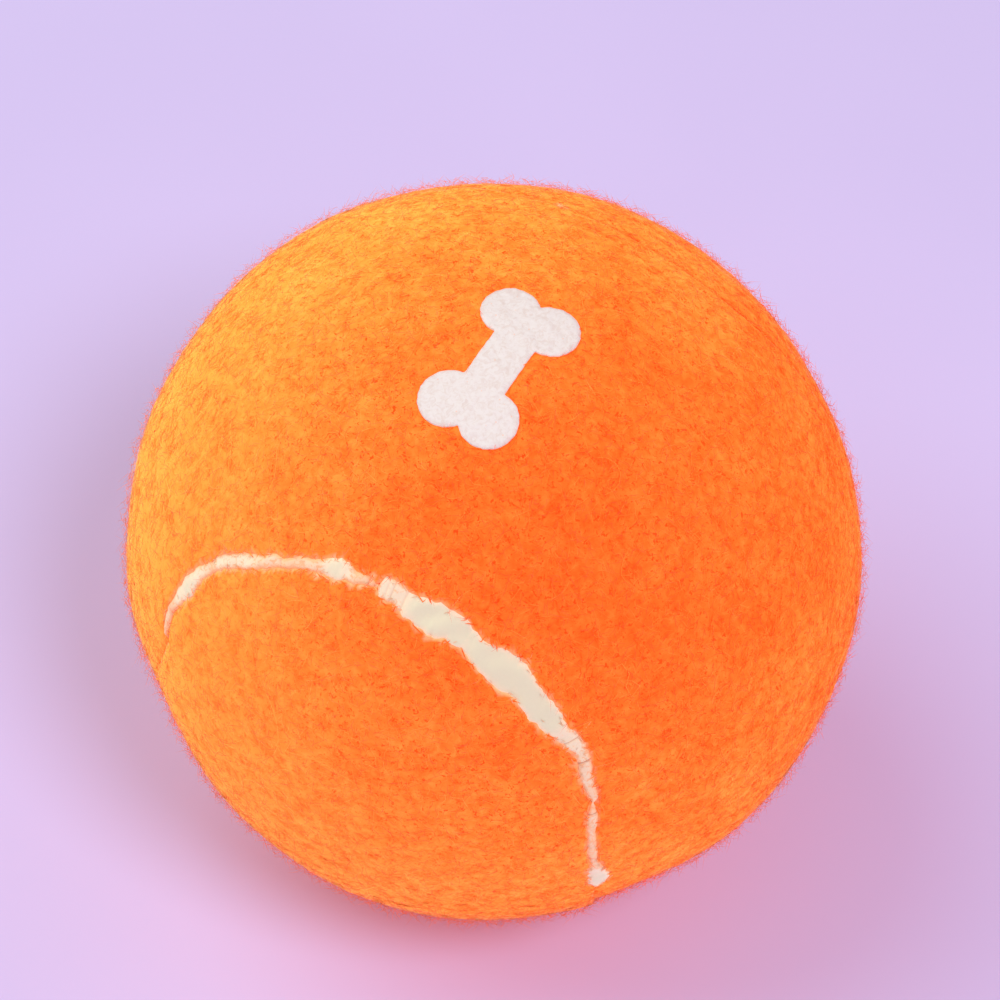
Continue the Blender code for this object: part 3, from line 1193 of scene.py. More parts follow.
@dataclass(frozen=True)
class FibreKind:
    """How the fibres of one kind look and lie. Lengths are in metres and angles in degrees."""

    stations: tuple[float, ...]
    length: tuple[float, float]
    width: tuple[float, float]
    root: tuple[float, float]  # height of the root above the skin
    rise: tuple[float, float]  # climb at the root
    fall: tuple[float, float]  # climb at the tip
    curl: float  # how far it turns sideways over its length
    kink: float  # a second, wavier turn
    flat: float = 0.35  # its thickness, as a share of its width


# Real fibres are about 0.03 mm thick. Those of the nap cling together, and are drawn as strands
# wide enough to show.
NAP = FibreKind(
    stations=(0.28, 0.72), length=(0.8 * MM, 1.8 * MM), width=(0.08 * MM, 0.13 * MM),
    root=(-0.06 * MM, 0.01 * MM), rise=(1, 7), fall=(-9, 0), curl=95, kink=30,
)
WISP = FibreKind(
    stations=(0.2, 0.5, 0.8), length=(1.0 * MM, 2.2 * MM), width=(0.035 * MM, 0.058 * MM),
    root=(0.01 * MM, 0.06 * MM), rise=(1, 6), fall=(-7, 1), curl=55, kink=30,
)
FUZZ = FibreKind(
    stations=(0.45,), length=(0.6 * MM, 2.1 * MM), width=(0.030 * MM, 0.052 * MM),
    root=(0.0, 0.1 * MM), rise=(10, 55), fall=(-35, 45), curl=90, kink=30, flat=1.0,
)
STRAY = FibreKind(
    stations=(0.08, 0.2, 0.35, 0.5, 0.65, 0.8, 0.92), length=(4.0 * MM, 9.0 * MM),
    width=(0.04 * MM, 0.06 * MM), root=(0.15 * MM, 0.22 * MM), rise=(3, 7), fall=(-6, 2),
    curl=160, kink=90,
)
LINT = FibreKind(
    stations=(0.28, 0.72), length=(0.30 * MM, 0.7 * MM), width=(0.05 * MM, 0.08 * MM),
    root=(-0.03 * MM, 0.02 * MM), rise=(0, 6), fall=(-12, 0), curl=60, kink=30,
)


@dataclass(frozen=True)
class Bulge:
    """A low swelling of the ball's roundness, or a hollow where its height is below 0."""

    centre: tuple[float, float, float]  # direction in the row's frame
    reach: float  # degrees
    height: float
    only: Panel | None = None  # the one panel that it swells

    def at(self, seen: np.ndarray, panel: Panel | None) -> np.ndarray:
        """Works out the swelling.

        Args:
            seen: unit directions in the row's frame.
            panel: the panel that they lie on, or None for the seam between the panels.

        Returns:
            Its height at each direction, which is half on the seam beside a single panel.
        """
        if panel is not None and self.only not in (None, panel):
            return np.zeros(len(seen))
        near = seen @ unit(np.array(self.centre))
        share = 0.5 if panel is None and self.only is not None else 1.0
        spread = 1 - math.cos(math.radians(self.reach))
        return share * self.height * np.exp(-((1 - near) / spread))


BULGES = (
    Bulge((-0.26, -0.80, -0.54), 14.0, 0.30 * MM, Panel.B),
    Bulge((-0.60, 0.62, 0.50), 22.0, 0.35 * MM),
    Bulge((0.80, 0.46, 0.38), 26.0, -0.40 * MM),
    Bulge((0.36, -0.77, -0.53), 11.0, -0.55 * MM, Panel.A),
    Bulge((-0.90, -0.39, -0.20), 12.0, -0.80 * MM),
)
UNEVEN = Ripple(14 * MM, 5)
UNEVEN_HEIGHT = 0.05 * MM


def ball_radius_at(ways: np.ndarray, panel: Panel | None = None) -> np.ndarray:
    """Finds the top of the nap, with the ball's slight bulges.

    Args:
        ways: unit directions in the ball's frame.
        panel: the panel that they lie on, or None for the seam between the panels.

    Returns:
        The radius at each direction, in metres.
    """
    turn = np.array(BALL_PLACE)[:3, :3]
    seen = ways @ turn.T
    swell = np.zeros(len(ways))
    for bulge in BULGES:
        swell += bulge.at(seen, panel)
    return BALL_RADIUS + swell + UNEVEN.at(ways * BALL_RADIUS) * UNEVEN_HEIGHT


def ground_ways(roots: np.ndarray) -> tuple[np.ndarray, np.ndarray]:
    """Finds two level directions at right angles on the ball, from any fixed line through it.

    Args:
        roots: unit directions in the ball's frame.

    Returns:
        East and north at each.
    """
    east = unit(np.cross(roots, np.array([0.31, 0.52, 0.80])))
    return east, np.cross(roots, east)


def scatter_roots(count: int, seed: int) -> np.ndarray:
    """Scatters directions evenly but at random over the whole ball.

    Args:
        count: how many.
        seed: fixes the random choices.

    Returns:
        One row for each direction.
    """
    random = np.random.default_rng(seed)
    turn = np.arange(count) * math.pi * (3 - math.sqrt(5))
    height = 1 - 2 * (np.arange(count) + 0.5) / count
    flat = np.sqrt(1 - height**2)
    ways = np.stack([flat * np.cos(turn), flat * np.sin(turn), height], axis=1)
    return unit(ways + random.normal(size=ways.shape) * 1.2 / math.sqrt(count))


def lay_fibres(
    roots: np.ndarray, kind: FibreKind, panel: Panel | None, seed: int, heading: np.ndarray,
    lift: float = 0.0,
) -> tuple[np.ndarray, np.ndarray]:
    """Bends copies of one fibre over the ball.

    Args:
        roots: each fibre's root, as a direction in the ball's frame.
        kind: how the fibres lie.
        panel: the panel that they grow on, or None on the seam.
        seed: fixes the random choices.
        heading: each fibre's compass angle in radians.
        lift: added to the roots' height.

    Returns:
        The vertices in the ball's frame, one row of vertices for each fibre, and the faces of one.
    """
    random = np.random.default_rng(seed)
    along, offset, faces = model_fibre(kind.stations)
    marks = np.array([0.0, *kind.stations, 1.0])
    count, steps = len(roots), len(marks) - 1
    length = random.uniform(*kind.length, count)[:, None]
    middle = (marks[:-1] + marks[1:]) / 2
    stride = np.diff(marks)
    curl = random.normal(0, math.radians(kind.curl), (count, 1)) * (middle - 0.5)
    kink = random.normal(0, math.radians(kind.kink), (count, 1))
    wave = np.sin(2 * math.pi * middle + random.uniform(0, 2 * math.pi, (count, 1)))
    compass = heading[:, None] + curl + kink * wave
    rise = np.radians(random.uniform(*kind.rise, (count, 1)))
    fall = np.radians(random.uniform(*kind.fall, (count, 1)))
    climb = rise + (fall - rise) * middle
    level = np.cos(climb) * stride * length
    walk = np.zeros((count, steps + 1, 3))
    walk[:, 1:, 0] = np.cumsum(level * np.cos(compass), axis=1)
    walk[:, 1:, 1] = np.cumsum(level * np.sin(compass), axis=1)
    walk[:, 1:, 2] = np.cumsum(np.sin(climb) * stride * length, axis=1)
    walk[:, :, 2] += random.uniform(*kind.root, (count, 1)) + lift
    sideways = np.zeros((count, steps + 1))
    sideways[:, 1:-1] = (compass[:, 1:] + compass[:, :-1]) / 2
    station = np.abs(along[:, None] - marks[None, :]).argmin(axis=1)
    width = random.uniform(*kind.width, (count, 1))
    roll = random.uniform(0, 2 * math.pi, (count, 1))
    across = offset[:, 0] * np.cos(roll) - offset[:, 1] * np.sin(roll)
    upward = offset[:, 0] * np.sin(roll) + offset[:, 1] * np.cos(roll)
    local = walk[:, station, :].copy()
    local[:, :, 0] -= across * width * np.sin(sideways[:, station])
    local[:, :, 1] += across * width * np.cos(sideways[:, station])
    local[:, :, 2] += upward * width * kind.flat
    east, north = ground_ways(roots)
    ways = unit(
        roots[:, None, :]
        + (local[:, :, :1] * east[:, None, :] + local[:, :, 1:2] * north[:, None, :]) / BALL_RADIUS
    )
    ground = ball_radius_at(roots, panel) - SKIN_DEPTH
    return ways * (ground[:, None] + local[:, :, 2])[:, :, None], faces


def join_fibres(
    name: str, fibres: np.ndarray, faces: np.ndarray, smear: np.ndarray, self_shade: float = 0.08
) -> bpy.types.Object:
    """Makes one object of many fibres.

    Args:
        name: the object's name.
        fibres: vertices in the ball's frame, one row of vertices for each fibre.
        faces: the faces of one fibre.
        smear: how much cream each fibre carries, from 0 to 1.
        self_shade: how far each fibre's own roundness turns its shading from the ball's.

    Returns:
        The object.
    """
    count, corners = fibres.shape[:2]
    every = (np.arange(count)[:, None, None] * corners + faces[None]).reshape(-1, 3)
    mesh = bpy.data.meshes.new(name)
    mesh.vertices.add(count * corners)
    mesh.loops.add(len(every) * 3)
    mesh.polygons.add(len(every))
    mesh.vertices.foreach_set("co", to_world(fibres.reshape(-1, 3)).astype(np.float32).ravel())
    mesh.loops.foreach_set("vertex_index", every.astype(np.int32).ravel())
    mesh.polygons.foreach_set("loop_start", np.arange(0, len(every) * 3, 3, dtype=np.int32))
    mesh.update(calc_edges=True)
    mesh.validate()
    mesh.shade_smooth()
    write_values(mesh, "smear", np.repeat(smear, corners))
    random = np.random.default_rng(count)
    write_values(mesh, "tone", np.repeat(random.normal(0, 0.06, count), corners))
    points = read_points(mesh)
    blunt = read_all(mesh.vertices, "normal", np.float32, 3).reshape(-1, 3)
    outward = unit(points - np.array([0, 0, BALL_HEIGHT]))
    mixed = unit(outward + self_shade * blunt)
    mesh.normals_split_custom_set_from_vertices(mixed)
    piece = bpy.data.objects.new(name, mesh)
    bpy.context.scene.collection.objects.link(piece)
    return piece


# Sub-assemblies


@dataclass
class FeltPanel:
    """One dumbbell-shaped felt panel: a closed skin, its nap, its wisps and its fuzz."""

    panel: Panel
    flat: tuple[float, float] = (52 * MM, 160 * MM)  # the blank it was cut from
    area: float = 0.0066
    grid: int = 60  # half the quads along a side of the cube it starts from
    shoulder: float = 1.1 * MM  # the cut edge rounds over within this
    sink: float = 0.26 * MM  # and this deep
    nap: int = 78000  # fibres over the whole ball
    wisps: int = 17000
    fuzz: int = 34000
    strays: int = 70
    evened: float = 1.6 * MM  # the skin's quads are evened out this far in from its edge
    # The skin's own relief: size, seed and height of each pattern.
    reliefs: tuple[tuple[float, int, float], ...] = (
        (2.6 * MM, 21, 0.03 * MM), (1.3 * MM, 22, 0.02 * MM),
    )
    relief_inset: float = 0.8 * MM  # it fades in over this distance from the edge
    print_dip: float = 0.12 * MM  # the film presses the felt down this far
    dip_edges: tuple[float, float] = (-0.4 * MM, 0.1 * MM)
    smear: float = 0.9  # cream on the cut edge
    smear_edges: tuple[float, float] = (0.02 * MM, 0.26 * MM)
    smear_fray: float = 0.12 * MM
    fibre_smear: float = 0.6
    fibre_smear_edges: tuple[float, float] = (0.02 * MM, 0.20 * MM)
    fibre_sink: float = 0.75  # fibres at the edge sink by this share of the skin's own sinking
    root_inset: float = 0.03 * MM  # no root lies closer to the cut edge
    print_inset: float = 0.05 * MM  # or to the print
    skin: bpy.types.Object | None = None
    pieces: list[bpy.types.Object] = field(default_factory=list)

    def build_skin(self, finish: bpy.types.Material) -> None:
        """Models the felt as a closed shell: a cube, subdivided, rounded, trimmed and thickened.

        Args:
            finish: the felt's material.
        """
        deselect_all()
        bpy.ops.mesh.primitive_cube_add(size=2 * BALL_RADIUS)
        piece = bpy.context.object
        bpy.ops.object.mode_set(mode="EDIT")
        bpy.ops.mesh.subdivide(number_cuts=self.grid - 1)
        bpy.ops.mesh.subdivide(number_cuts=1)
        bpy.ops.object.mode_set(mode="OBJECT")
        mesh = piece.data
        cube = read_points(mesh) / BALL_RADIUS
        write_points(mesh, unit(np.tan(cube * math.pi / 4)) * BALL_RADIUS)
        trim_to(
            piece,
            lambda points: panel_depth(points, self.panel),
            lambda points: unit(points) * BALL_RADIUS,
            self.evened,
        )
        outer = len(mesh.vertices)
        thicken(piece, FELT_THICKNESS)
        mesh = piece.data
        points = read_points(mesh)
        ways = unit(points[:outer])
        depth, opened = panel_place(ways, self.panel)
        relief = relief_at(ways * BALL_RADIUS, self.reliefs)
        relief *= eased(depth, 0.0, self.relief_inset)
        radius = ball_radius_at(ways, self.panel) - SKIN_DEPTH + relief
        radius -= self.sunk(depth, opened)
        radius -= self.print_dip * eased(BONE.inside_on_ball(ways), *self.dip_edges)
        points[:outer] = ways * radius[:, None]
        write_points(mesh, to_world(points))
        smear = np.zeros(len(points))
        soft = Ripple(0.5 * MM, 23).at(ways * BALL_RADIUS) * self.smear_fray
        smear[:outer] = self.smear * opened * (1 - eased(depth + soft, *self.smear_edges))
        write_values(mesh, "smear", smear)
        mesh.shade_smooth()
        bpy.ops.mesh.customdata_custom_splitnormals_clear()
        node = f"felt_panel_{self.panel.value}"
        self.skin = finish_piece(piece, f"{node}_skin", finish, "orange_felt", node)

    def sunk(self, depth: np.ndarray, opened: np.ndarray) -> np.ndarray:
        """How far the nap rounds down at the cut edge: less where the panels meet."""
        slope = 1 - np.clip(depth / self.shoulder, 0, 1)
        return self.sink * (0.7 + 0.3 * opened) * (1 - np.sqrt(1 - slope**2))

    def grow(
        self, label: str, kind: FibreKind, count: int, finish: bpy.types.Material, seed: int,
        shares: int = 1, cross: float = 0.07 * MM,
    ) -> None:
        """Grows one kind of fibre on the panel.

        Args:
            label: ends the pieces' names.
            kind: how the fibres lie.
            count: how many there are over the whole ball.
            finish: their material.
            seed: fixes the random choices.
            shares: into how many pieces they are split.
            cross: how far a fibre may reach over the seam or the print.
        """
        random = np.random.default_rng(seed)
        roots = scatter_roots(count, seed)
        on_panel = panel_depth(roots, self.panel) > self.root_inset
        clear = BONE.inside_on_ball(roots) < -self.print_inset
        roots = roots[on_panel & clear]
        swirl = Ripple(NAP_SWIRL, 31).at(roots * BALL_RADIUS) * 1.6
        heading = swirl + random.normal(0, 1.0, len(roots))
        heading += math.pi * (random.random(len(roots)) < 0.5)
        first, faces = lay_fibres(roots, kind, self.panel, seed, heading)
        other, _ = lay_fibres(roots, kind, self.panel, seed, heading + math.pi)
        reach = random.exponential(cross, len(roots))
        fibres = first.copy()
        over = self.overhang(first)
        over_other = self.overhang(other)
        turned = (over > reach) & (over_other < over)
        fibres[turned] = other[turned]
        kept = np.where(turned, over_other, over) <= reach
        roots, fibres = roots[kept], fibres[kept]
        depth, opened = panel_place(roots, self.panel)
        fibres -= unit(fibres) * (self.fibre_sink * self.sunk(depth, opened))[:, None, None]
        inset = depth + random.normal(0, self.smear_fray, len(depth))
        smear = self.fibre_smear * opened * (1 - eased(inset, *self.fibre_smear_edges))
        order = np.argsort(np.arctan2(roots[:, 1], roots[:, 0]))
        for number, rows in enumerate(np.array_split(order, shares), 1):
            tail = f"_{number}" if shares > 1 else ""
            name = f"felt_panel_{self.panel.value}_{label}{tail}"
            piece = join_fibres(name, fibres[rows], faces, smear[rows])
            self.pieces.append(finish_piece(piece, name, finish, "orange_felt"))

    def overhang(self, fibres: np.ndarray) -> np.ndarray:
        """Measures fibres against the panel's edge and the print.

        Args:
            fibres: vertices in the ball's frame, one row of vertices for each fibre.

        Returns:
            How far each fibre reaches over the edge or over the print, below 0 if it doesn't.
        """
        corners = fibres.shape[1]
        ends = fibres[:, np.linspace(0, corners - 1, max(3, corners // 2)).astype(int)]
        flat = ends.reshape(-1, 3)
        depth, opened = panel_place(flat, self.panel)
        past_edge = -depth * (0.25 + 0.75 * opened)  # they mingle where the panels meet
        on_print = BONE.inside_on_ball(flat)
        return np.maximum(past_edge, on_print).reshape(len(fibres), -1).max(axis=1)


@dataclass
class SeamBead:
    """The cream rubber bead that fills the line between the panels."""

    line: SeamLine = SEAM
    stations: int = 1900
    sections: int = 20
    face_depth: float = 0.30 * MM  # below the top of the nap
    hidden_depth: float = 0.55 * MM  # and this much deeper where the panels meet
    foot_radius: float = 29.3 * MM
    overlap: float = 0.10 * MM  # bonded this far into each felt edge
    length: float = 2 * math.pi * BALL_RADIUS * 1.35  # of the whole line, about
    close_up: tuple[float, float, float, float] = (0.50, 0.54, 0.77, 0.81)
    crowding: float = 2.2  # how many more sections lie in the close-up stretch
    lump: tuple[float, float] = (2.4 * MM, 0.05)  # size, and height in millimetres
    grain: tuple[float, float] = (0.7 * MM, 0.008)
    thin_grain: float = 0.010  # added to the grain's height where the bead is thin
    thin_edges: tuple[float, float] = (1.2 * MM, 2.0 * MM)  # the widths from thin to not thin
    narrow_edges: tuple[float, float] = (0.7 * MM, 1.5 * MM)
    crack_width: float = 0.07 * MM
    film_width: float = 1.3 * MM
    # Share of the way round, depth in millimetres: splits across the bead.
    cracks: tuple[tuple[float, float], ...] = (
        (0.7003, 0.30), (0.6915, 0.12), (0.6290, 0.06), (0.6255, 0.08), (0.6240, 0.05),
        (0.6205, 0.12), (0.6190, 0.10), (0.7208, 0.16), (0.5920, 0.08),
        (0.3410, 0.15), (0.4120, 0.12), (0.8860, 0.15), (0.9450, 0.10),
    )
    # Share of the way round, and how much more the bead is soaked there: thin films over the felt.
    films: tuple[tuple[float, float], ...] = ((0.6262, 0.45), (0.3850, 0.30), (0.9050, 0.30))

    def turns(self) -> np.ndarray:
        """Spaces the bead's sections, closer together where it is widest and seen best.

        Returns:
            Each section's share of the way round.
        """
        fine = np.linspace(0, 1, 4001)
        close = eased(fine, *self.close_up[:2]) * (1 - eased(fine, *self.close_up[2:]))
        weight = 1 + self.crowding * close
        total = np.concatenate([[0], np.cumsum((weight[1:] + weight[:-1]) / 2)])
        return np.interp(np.linspace(0, 1, self.stations + 1), total / total[-1], fine)

    def section(self) -> tuple[np.ndarray, np.ndarray]:
        """Draws the bead's closed section: a flat top and a foot.

        Returns:
            Each corner's share of the half width, and its share of the depth.
        """
        top = 2 * self.sections // 3 - 1
        foot = self.sections - top - 4
        crown = np.sin(np.linspace(-math.pi / 2, math.pi / 2, top))
        spread = [*crown, 0.92, 0.85, *np.linspace(0.8, -0.8, foot), -0.85, -0.92, crown[0]]
        deep = [*np.zeros(top), 0.35, 0.8, *np.ones(foot), 0.8, 0.35, 0.0]
        return np.array(spread), np.array(deep)

    def bumps(
        self, turns: np.ndarray, spots: Sequence[tuple[float, float]], reach: float
    ) -> np.ndarray:
        """Adds up a smooth bump at each spot.

        Args:
            turns: shares of the way round.
            spots: each bump's share of the way round and its height.
            reach: the bumps' half width along the bead.

        Returns:
            The height at each share of the way round.
        """
        total = np.zeros(len(turns))
        for turn, height in spots:
            total += height * np.exp(-(((turns - turn) * self.length / reach) ** 2))
        return total

    def build(self, finish: bpy.types.Material) -> None:
        """Models the bead: a strip rolled up along the line, its section drawn out to the felt.

        Args:
            finish: the rubber's material.
        """
        deselect_all()
        bpy.ops.mesh.primitive_grid_add(
            x_subdivisions=self.stations, y_subdivisions=self.sections, size=1.0
        )
        piece = bpy.context.object
        mesh = piece.data
        grid = read_points(mesh) + 0.5
        along = np.rint(grid[:, 0] * self.stations).astype(int)
        round_it = np.rint(grid[:, 1] * self.sections).astype(int)
        turns = self.turns()
        here, across = self.line.rails(turns)
        opened = self.line.open_at(turns)
        left = self.line.edge(turns, Panel.B) + self.overlap * opened
        right = self.line.edge(turns, Panel.A) + self.overlap * opened
        middle, half = (right - left) / 2, (right + left) / 2
        ground = ball_radius_at(here) - self.face_depth - self.hidden_depth * (1 - opened)
        split = self.bumps(turns, self.cracks, self.crack_width)
        film = self.bumps(turns, self.films, self.film_width)
        thin = 1 - eased(self.line.width(turns), *self.thin_edges)
        narrow = 1 - eased(self.line.width(turns), *self.narrow_edges)
        rows = []
        soak = []
        for share, fall in zip(*self.section()):
            way = unit(here + across * ((middle + share * half) / BALL_RADIUS)[:, None])
            lump = Ripple(self.lump[0], 41).at(way * BALL_RADIUS) * self.lump[1]
            grain = Ripple(self.grain[0], 42).at(way * BALL_RADIUS)
            lump += grain * (self.grain[1] + self.thin_grain * thin)
            crown = 0.06 * (1 - share**2) * thin - 0.16 * share**4  # round, and down at its edges
            face = ground + (lump + crown - split) * MM
            radius = face + (self.foot_radius - face) * fall
            rows.append(way * radius[:, None])
            edges = (0.5 + 0.2 * thin) * abs(share) ** 4
            soak.append(np.clip(0.45 * thin + 0.35 * narrow + edges + film, 0, 1))
        write_points(mesh, to_world(np.stack(rows, axis=1)[along, round_it]))
        write_values(mesh, "soak", np.stack(soak, axis=1)[along, round_it])
        # The mask of the painted shade along the splits.
        write_values(mesh, "crack_shade", np.clip(split * 4, 0, 0.9)[along])
        make_active(piece)
        bpy.ops.object.mode_set(mode="EDIT")
        bpy.ops.mesh.select_all(action="SELECT")
        bpy.ops.mesh.remove_doubles(threshold=0.001 * MM)
        bpy.ops.mesh.normals_make_consistent(inside=False)
        bpy.ops.object.mode_set(mode="OBJECT")
        mesh.shade_smooth()
        finish_piece(piece, "seam_rubber_bead", finish, "seam_rubber", "seam_filler")

    def add_lint(self, finish: bpy.types.Material, tries: int = 780, seed: int = 61) -> None:
        """Lays short cream-soaked fibres along the bead's edges, thickest where it is narrow.

        Args:
            finish: their material.
            tries: how many places are tried.
            seed: fixes the random choices.
        """
        random = np.random.default_rng(seed)
        turns = random.random(tries)
        here, across = self.line.rails(turns)
        wide = self.line.width(turns)
        likely = eased(wide, 0.3 * MM, 0.7 * MM) * (1 - 0.7 * eased(wide, 1.4 * MM, 2.2 * MM))
        kept = random.random(len(turns)) < likely
        turns, here, across, wide = turns[kept], here[kept], across[kept], wide[kept]
        side = np.where(random.random(len(turns)) < 0.5, 1.0, -1.0)
        edge = np.where(
            side > 0, self.line.edge(turns, Panel.A), self.line.edge(turns, Panel.B)
        )
        off = side * (edge - random.exponential(0.16 * MM, len(turns)) + 0.05 * MM)
        roots = unit(here + across * (off / BALL_RADIUS)[:, None])
        east, north = ground_ways(roots)
        out = across * side[:, None]
        compass = np.arctan2((out * north).sum(axis=1), (out * east).sum(axis=1))
        heading = compass + math.pi / 2 + random.normal(0, 0.5, len(roots))
        fibres, faces = lay_fibres(roots, LINT, None, seed, heading)
        name = "seam_soaked_fibres"
        piece = join_fibres(name, fibres, faces, np.zeros(len(roots)), self_shade=0.0)
        write_values(piece.data, "soak", np.full(fibres.shape[0] * fibres.shape[1], 0.9))
        finish_piece(piece, name, finish, "seam_rubber")


@dataclass
class PrintedBone:
    """The white film bone that is pressed into panel A's nap."""

    outline: BoneOutline = BONE
    pitch: float = 0.11 * MM
    face_depth: float = 0.06 * MM  # below the top of the nap
    film: float = 0.30 * MM
    torn: Ripple = Ripple(0.7 * MM, 51)
    fray: float = 0.012 * MM  # how far its edge is uneven
    evened: float = 0.5 * MM  # its quads are evened out this far in from its edge
    rim: float = 0.10 * MM  # its edge is pressed this much deeper
    rim_width: float = 0.30 * MM
    # Relief of the cloth under the film: size, seed and height of each pattern.
    reliefs: tuple[tuple[float, int, float], ...] = (
        (0.8 * MM, 52, 0.014 * MM), (2.2 * MM, 53, 0.02 * MM),
    )

    def build(self, finish: bpy.types.Material) -> None:
        """Models the film: a fine grid trimmed to the bone, thickened and laid on the nap.

        Args:
            finish: the film's material.
        """
        line = self.outline
        wide = line.length + 2 * line.lobe_radius + 1 * MM
        tall = 2 * (line.lobe_offset + line.lobe_radius) + 1 * MM
        deselect_all()
        bpy.ops.mesh.primitive_grid_add(
            x_subdivisions=round(wide / self.pitch), y_subdivisions=round(tall / self.pitch),
            size=1.0,
        )
        piece = bpy.context.object
        mesh = piece.data
        points = read_points(mesh) * np.array([wide, tall, 0.0])
        write_points(mesh, points)
        trim_to(
            piece,
            lambda points: line.inside(points) + self.torn.at(points[:, :2]) * self.fray,
            lambda points: points * np.array([1.0, 1.0, 0.0]),
            self.evened,
        )
        thicken(piece, self.film)
        mesh = piece.data
        points = read_points(mesh)
        upper = points[:, 2] > -0.5 * self.film
        flat = points[:, :2]
        height = np.sqrt(BALL_RADIUS**2 - (flat**2).sum(axis=1))
        ways = unit(np.column_stack([flat, height]) @ line.place().T)
        radius = ball_radius_at(ways, Panel.A) - self.face_depth
        radius -= self.rim * (1 - eased(line.inside(flat), 0.0, self.rim_width))
        radius += relief_at(flat, self.reliefs)
        radius -= np.where(upper, 0.0, self.film)
        write_points(mesh, to_world(ways * radius[:, None]))
        mesh.shade_smooth()
        finish_piece(piece, "printed_bone_film", finish, "print_film", "printed_mark")


@dataclass
class HiddenCore:
    """The rubber core, its cement and the coats behind the felt, kept as the CAD solids."""

    moulded: HiddenRubber = HiddenRubber(
        "moulded_core_rubber_charcoal", "2E2E30", "3A3A3C", 0.75, 1.2 * MM, 0.2
    )
    cement: HiddenRubber = HiddenRubber(
        "cured_joint_cement_amber", "A9824E", "BC9760", 0.45, 0.8 * MM, 0.3
    )
    coat: HiddenRubber = HiddenRubber(
        "brushed_rubber_coat_tan", "B49870", "C8AC86", 0.55, 1.5 * MM, 0.4
    )

    def dress(self) -> None:
        """Gives each CAD solid inside the ball its real finish."""
        finishes = {
            ("core_half_upper", "core_half_lower"): self.moulded.make(),
            ("core_joint_cement",): self.cement.make(),
            ("cover_cement_a", "cover_cement_b"): self.coat.make(),
        }
        for names, finish in finishes.items():
            for name in names:
                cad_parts[name].material_slots[0].material = finish
                log.info("%s: dressed in %s", name, finish.name)


@dataclass(frozen=True)
class Lamp:
    """A round soft lamp that points at the ball."""

    name: str
    compass: float  # degrees from +X towards +Y
    height: float  # degrees above the level
    size: float  # its diameter
    watts: float
    tint: tuple[float, float, float]  # linear light
    distance: float = 0.9

    def hang(self, target: Vector) -> None:
        """Hangs the lamp.

        Args:
            target: the point that it lights.
        """
        turn, rise = math.radians(self.compass), math.radians(self.height)
        level = math.cos(rise)
        towards = Vector((math.cos(turn) * level, math.sin(turn) * level, math.sin(rise)))
        deselect_all()
        bpy.ops.object.light_add(type="AREA", location=target + towards * self.distance)
        lamp = bpy.context.object
        lamp.name = self.name
        lamp.data.shape = "DISK"
        lamp.data.size = self.size
        lamp.data.energy = self.watts
        lamp.data.color = self.tint
        lamp.rotation_euler = towards.to_track_quat("Z", "Y").to_euler()


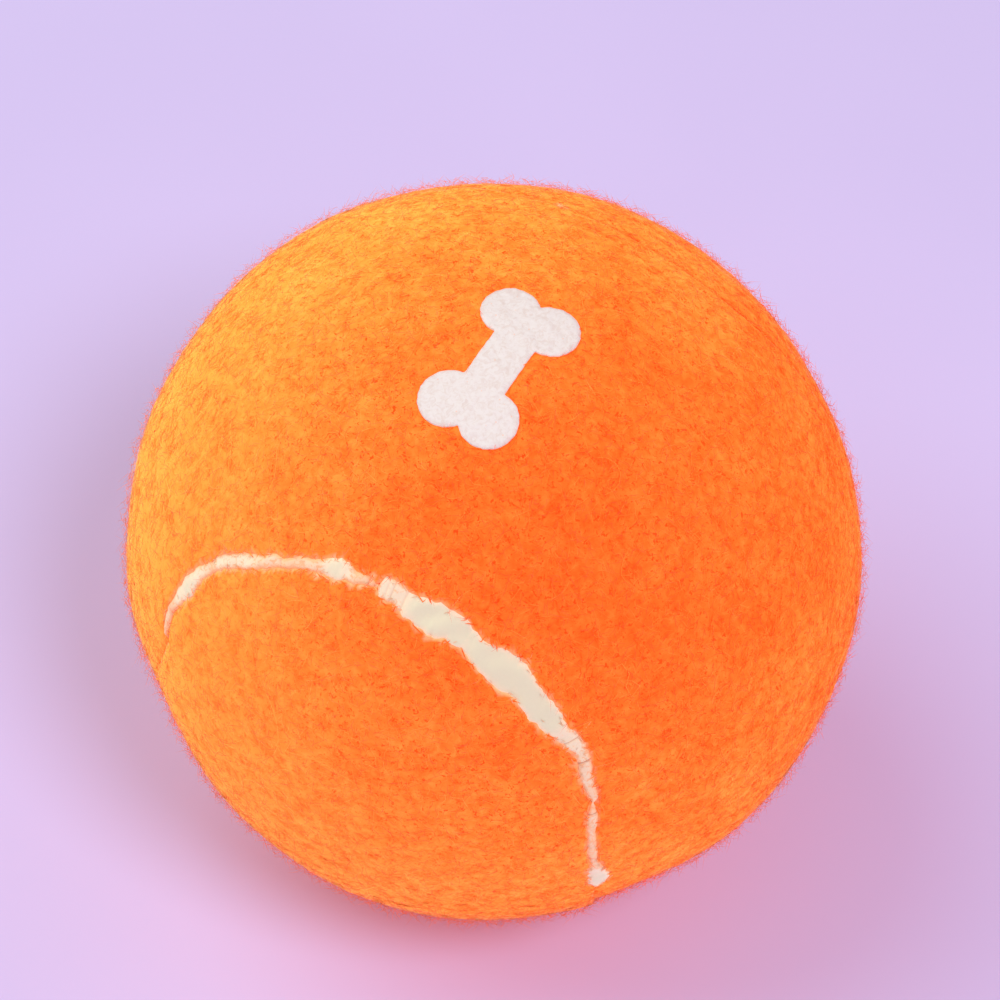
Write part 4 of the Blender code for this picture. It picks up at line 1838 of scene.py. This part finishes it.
@dataclass
class Studio:
    """The table, the two soft lamps, the room's light and the camera."""

    ball_centre: Vector = field(default_factory=lambda: Vector((0, 0, BALL_HEIGHT)))
    table_size: float = 6.0
    lamps: tuple[Lamp, ...] = (
        Lamp("lamp_front_right", -58, 54, 0.30, 3.83, (0.78, 0.87, 1.00)),
        Lamp("lamp_left", 161, 55, 0.90, 3.97, (0.77, 1.00, 0.96)),
    )
    room_tint: Colour = (1.00, 0.78, 0.84, 1.0)  # linear light
    room_strength: float = 0.496
    elevation: float = 50.0  # the camera's, in degrees
    distance: float = 323.6 * MM
    lens: float = 131.8  # in millimetres on the sensor
    sensor: float = 36.0
    clip: tuple[float, float] = (0.01, 50.0)
    aim: tuple[float, float] = (0.53 * MM, 4.44 * MM)  # right and up of the ball's centre

    def lay_table(self) -> None:
        """Lays the lilac card that the ball rests on."""
        deselect_all()
        bpy.ops.mesh.primitive_plane_add(size=self.table_size)
        table = bpy.context.object
        table.name = "table_card"
        table.data.materials.append(TableCard().make())

    def light_room(self) -> None:
        """Sets the even light of the room."""
        world = bpy.data.worlds.new("room")
        bpy.context.scene.world = world
        world.use_nodes = True
        shader = world.node_tree.nodes["Background"]
        shader.inputs["Color"].default_value = self.room_tint
        shader.inputs["Strength"].default_value = self.room_strength

    def set_camera(self) -> None:
        """Puts the camera where the photograph was taken from."""
        tilt = math.radians(self.elevation)
        back = Vector((0, -math.cos(tilt), math.sin(tilt)))
        up = Vector((0, math.sin(tilt), math.cos(tilt)))
        aim = self.ball_centre + Vector((1, 0, 0)) * self.aim[0] + up * self.aim[1]
        deselect_all()
        bpy.ops.object.camera_add(location=aim + back * self.distance)
        camera = bpy.context.object
        camera.name = "camera"
        camera.rotation_euler = back.to_track_quat("Z", "Y").to_euler()
        camera.data.lens = self.lens
        camera.data.sensor_width = self.sensor
        camera.data.clip_start, camera.data.clip_end = self.clip
        bpy.context.scene.camera = camera

    def build(self) -> None:
        """Sets the whole stage."""
        self.lay_table()
        for lamp in self.lamps:
            lamp.hang(self.ball_centre)
        self.light_room()
        self.set_camera()
        bpy.context.scene.view_settings.view_transform = "Standard"


def main() -> None:
    """Builds the ball and its stage in order."""
    logging.basicConfig(level=logging.INFO, format="%(name)s: %(message)s")
    skin_felt = NeedledFelt("needled_felt_orange").make()
    nap_fibre = NeedledFelt("dyed_nap_fibre", bump=0.0).make()
    wisp_fibre = NeedledFelt(
        "dyed_wisp_fibre", OrangeDye(deep="FF8832", body="FF983E", light="FFAC4E"), bump=0.0
    ).make()
    # The fuzz has a stronger painted glow, which makes it look lit from behind.
    fuzz_fibre = NeedledFelt(
        "dyed_fuzz_fibre", OrangeDye(deep="FF6436", body="FF7A48", light="FF9460"),
        painted_sheen_gain=(1.2, 1.5, 1.6, 1.0), bump=0.0, veil=0.5, painted_glow=0.38, painted_glow_tone="FF5A38",
    ).make()
    soaked = SeamRubber("soaked_fibre_cream").make()
    HiddenCore().dress()
    for number, panel in enumerate(Panel):
        felt = FeltPanel(panel)
        felt.build_skin(skin_felt)
        felt.grow("nap", NAP, felt.nap, nap_fibre, 100 + number, shares=3)
        felt.grow("wisps", WISP, felt.wisps, wisp_fibre, 110 + number)
        felt.grow("fuzz", FUZZ, felt.fuzz, fuzz_fibre, 120 + number)
        felt.grow("strays", STRAY, felt.strays, wisp_fibre, 130 + number, cross=0.2 * MM)
    bead = SeamBead()
    bead.build(SeamRubber().make())
    bead.add_lint(soaked)
    PrintedBone().build(TransferFilm().make())
    Studio().build()


if __name__ == "__main__":
    main()
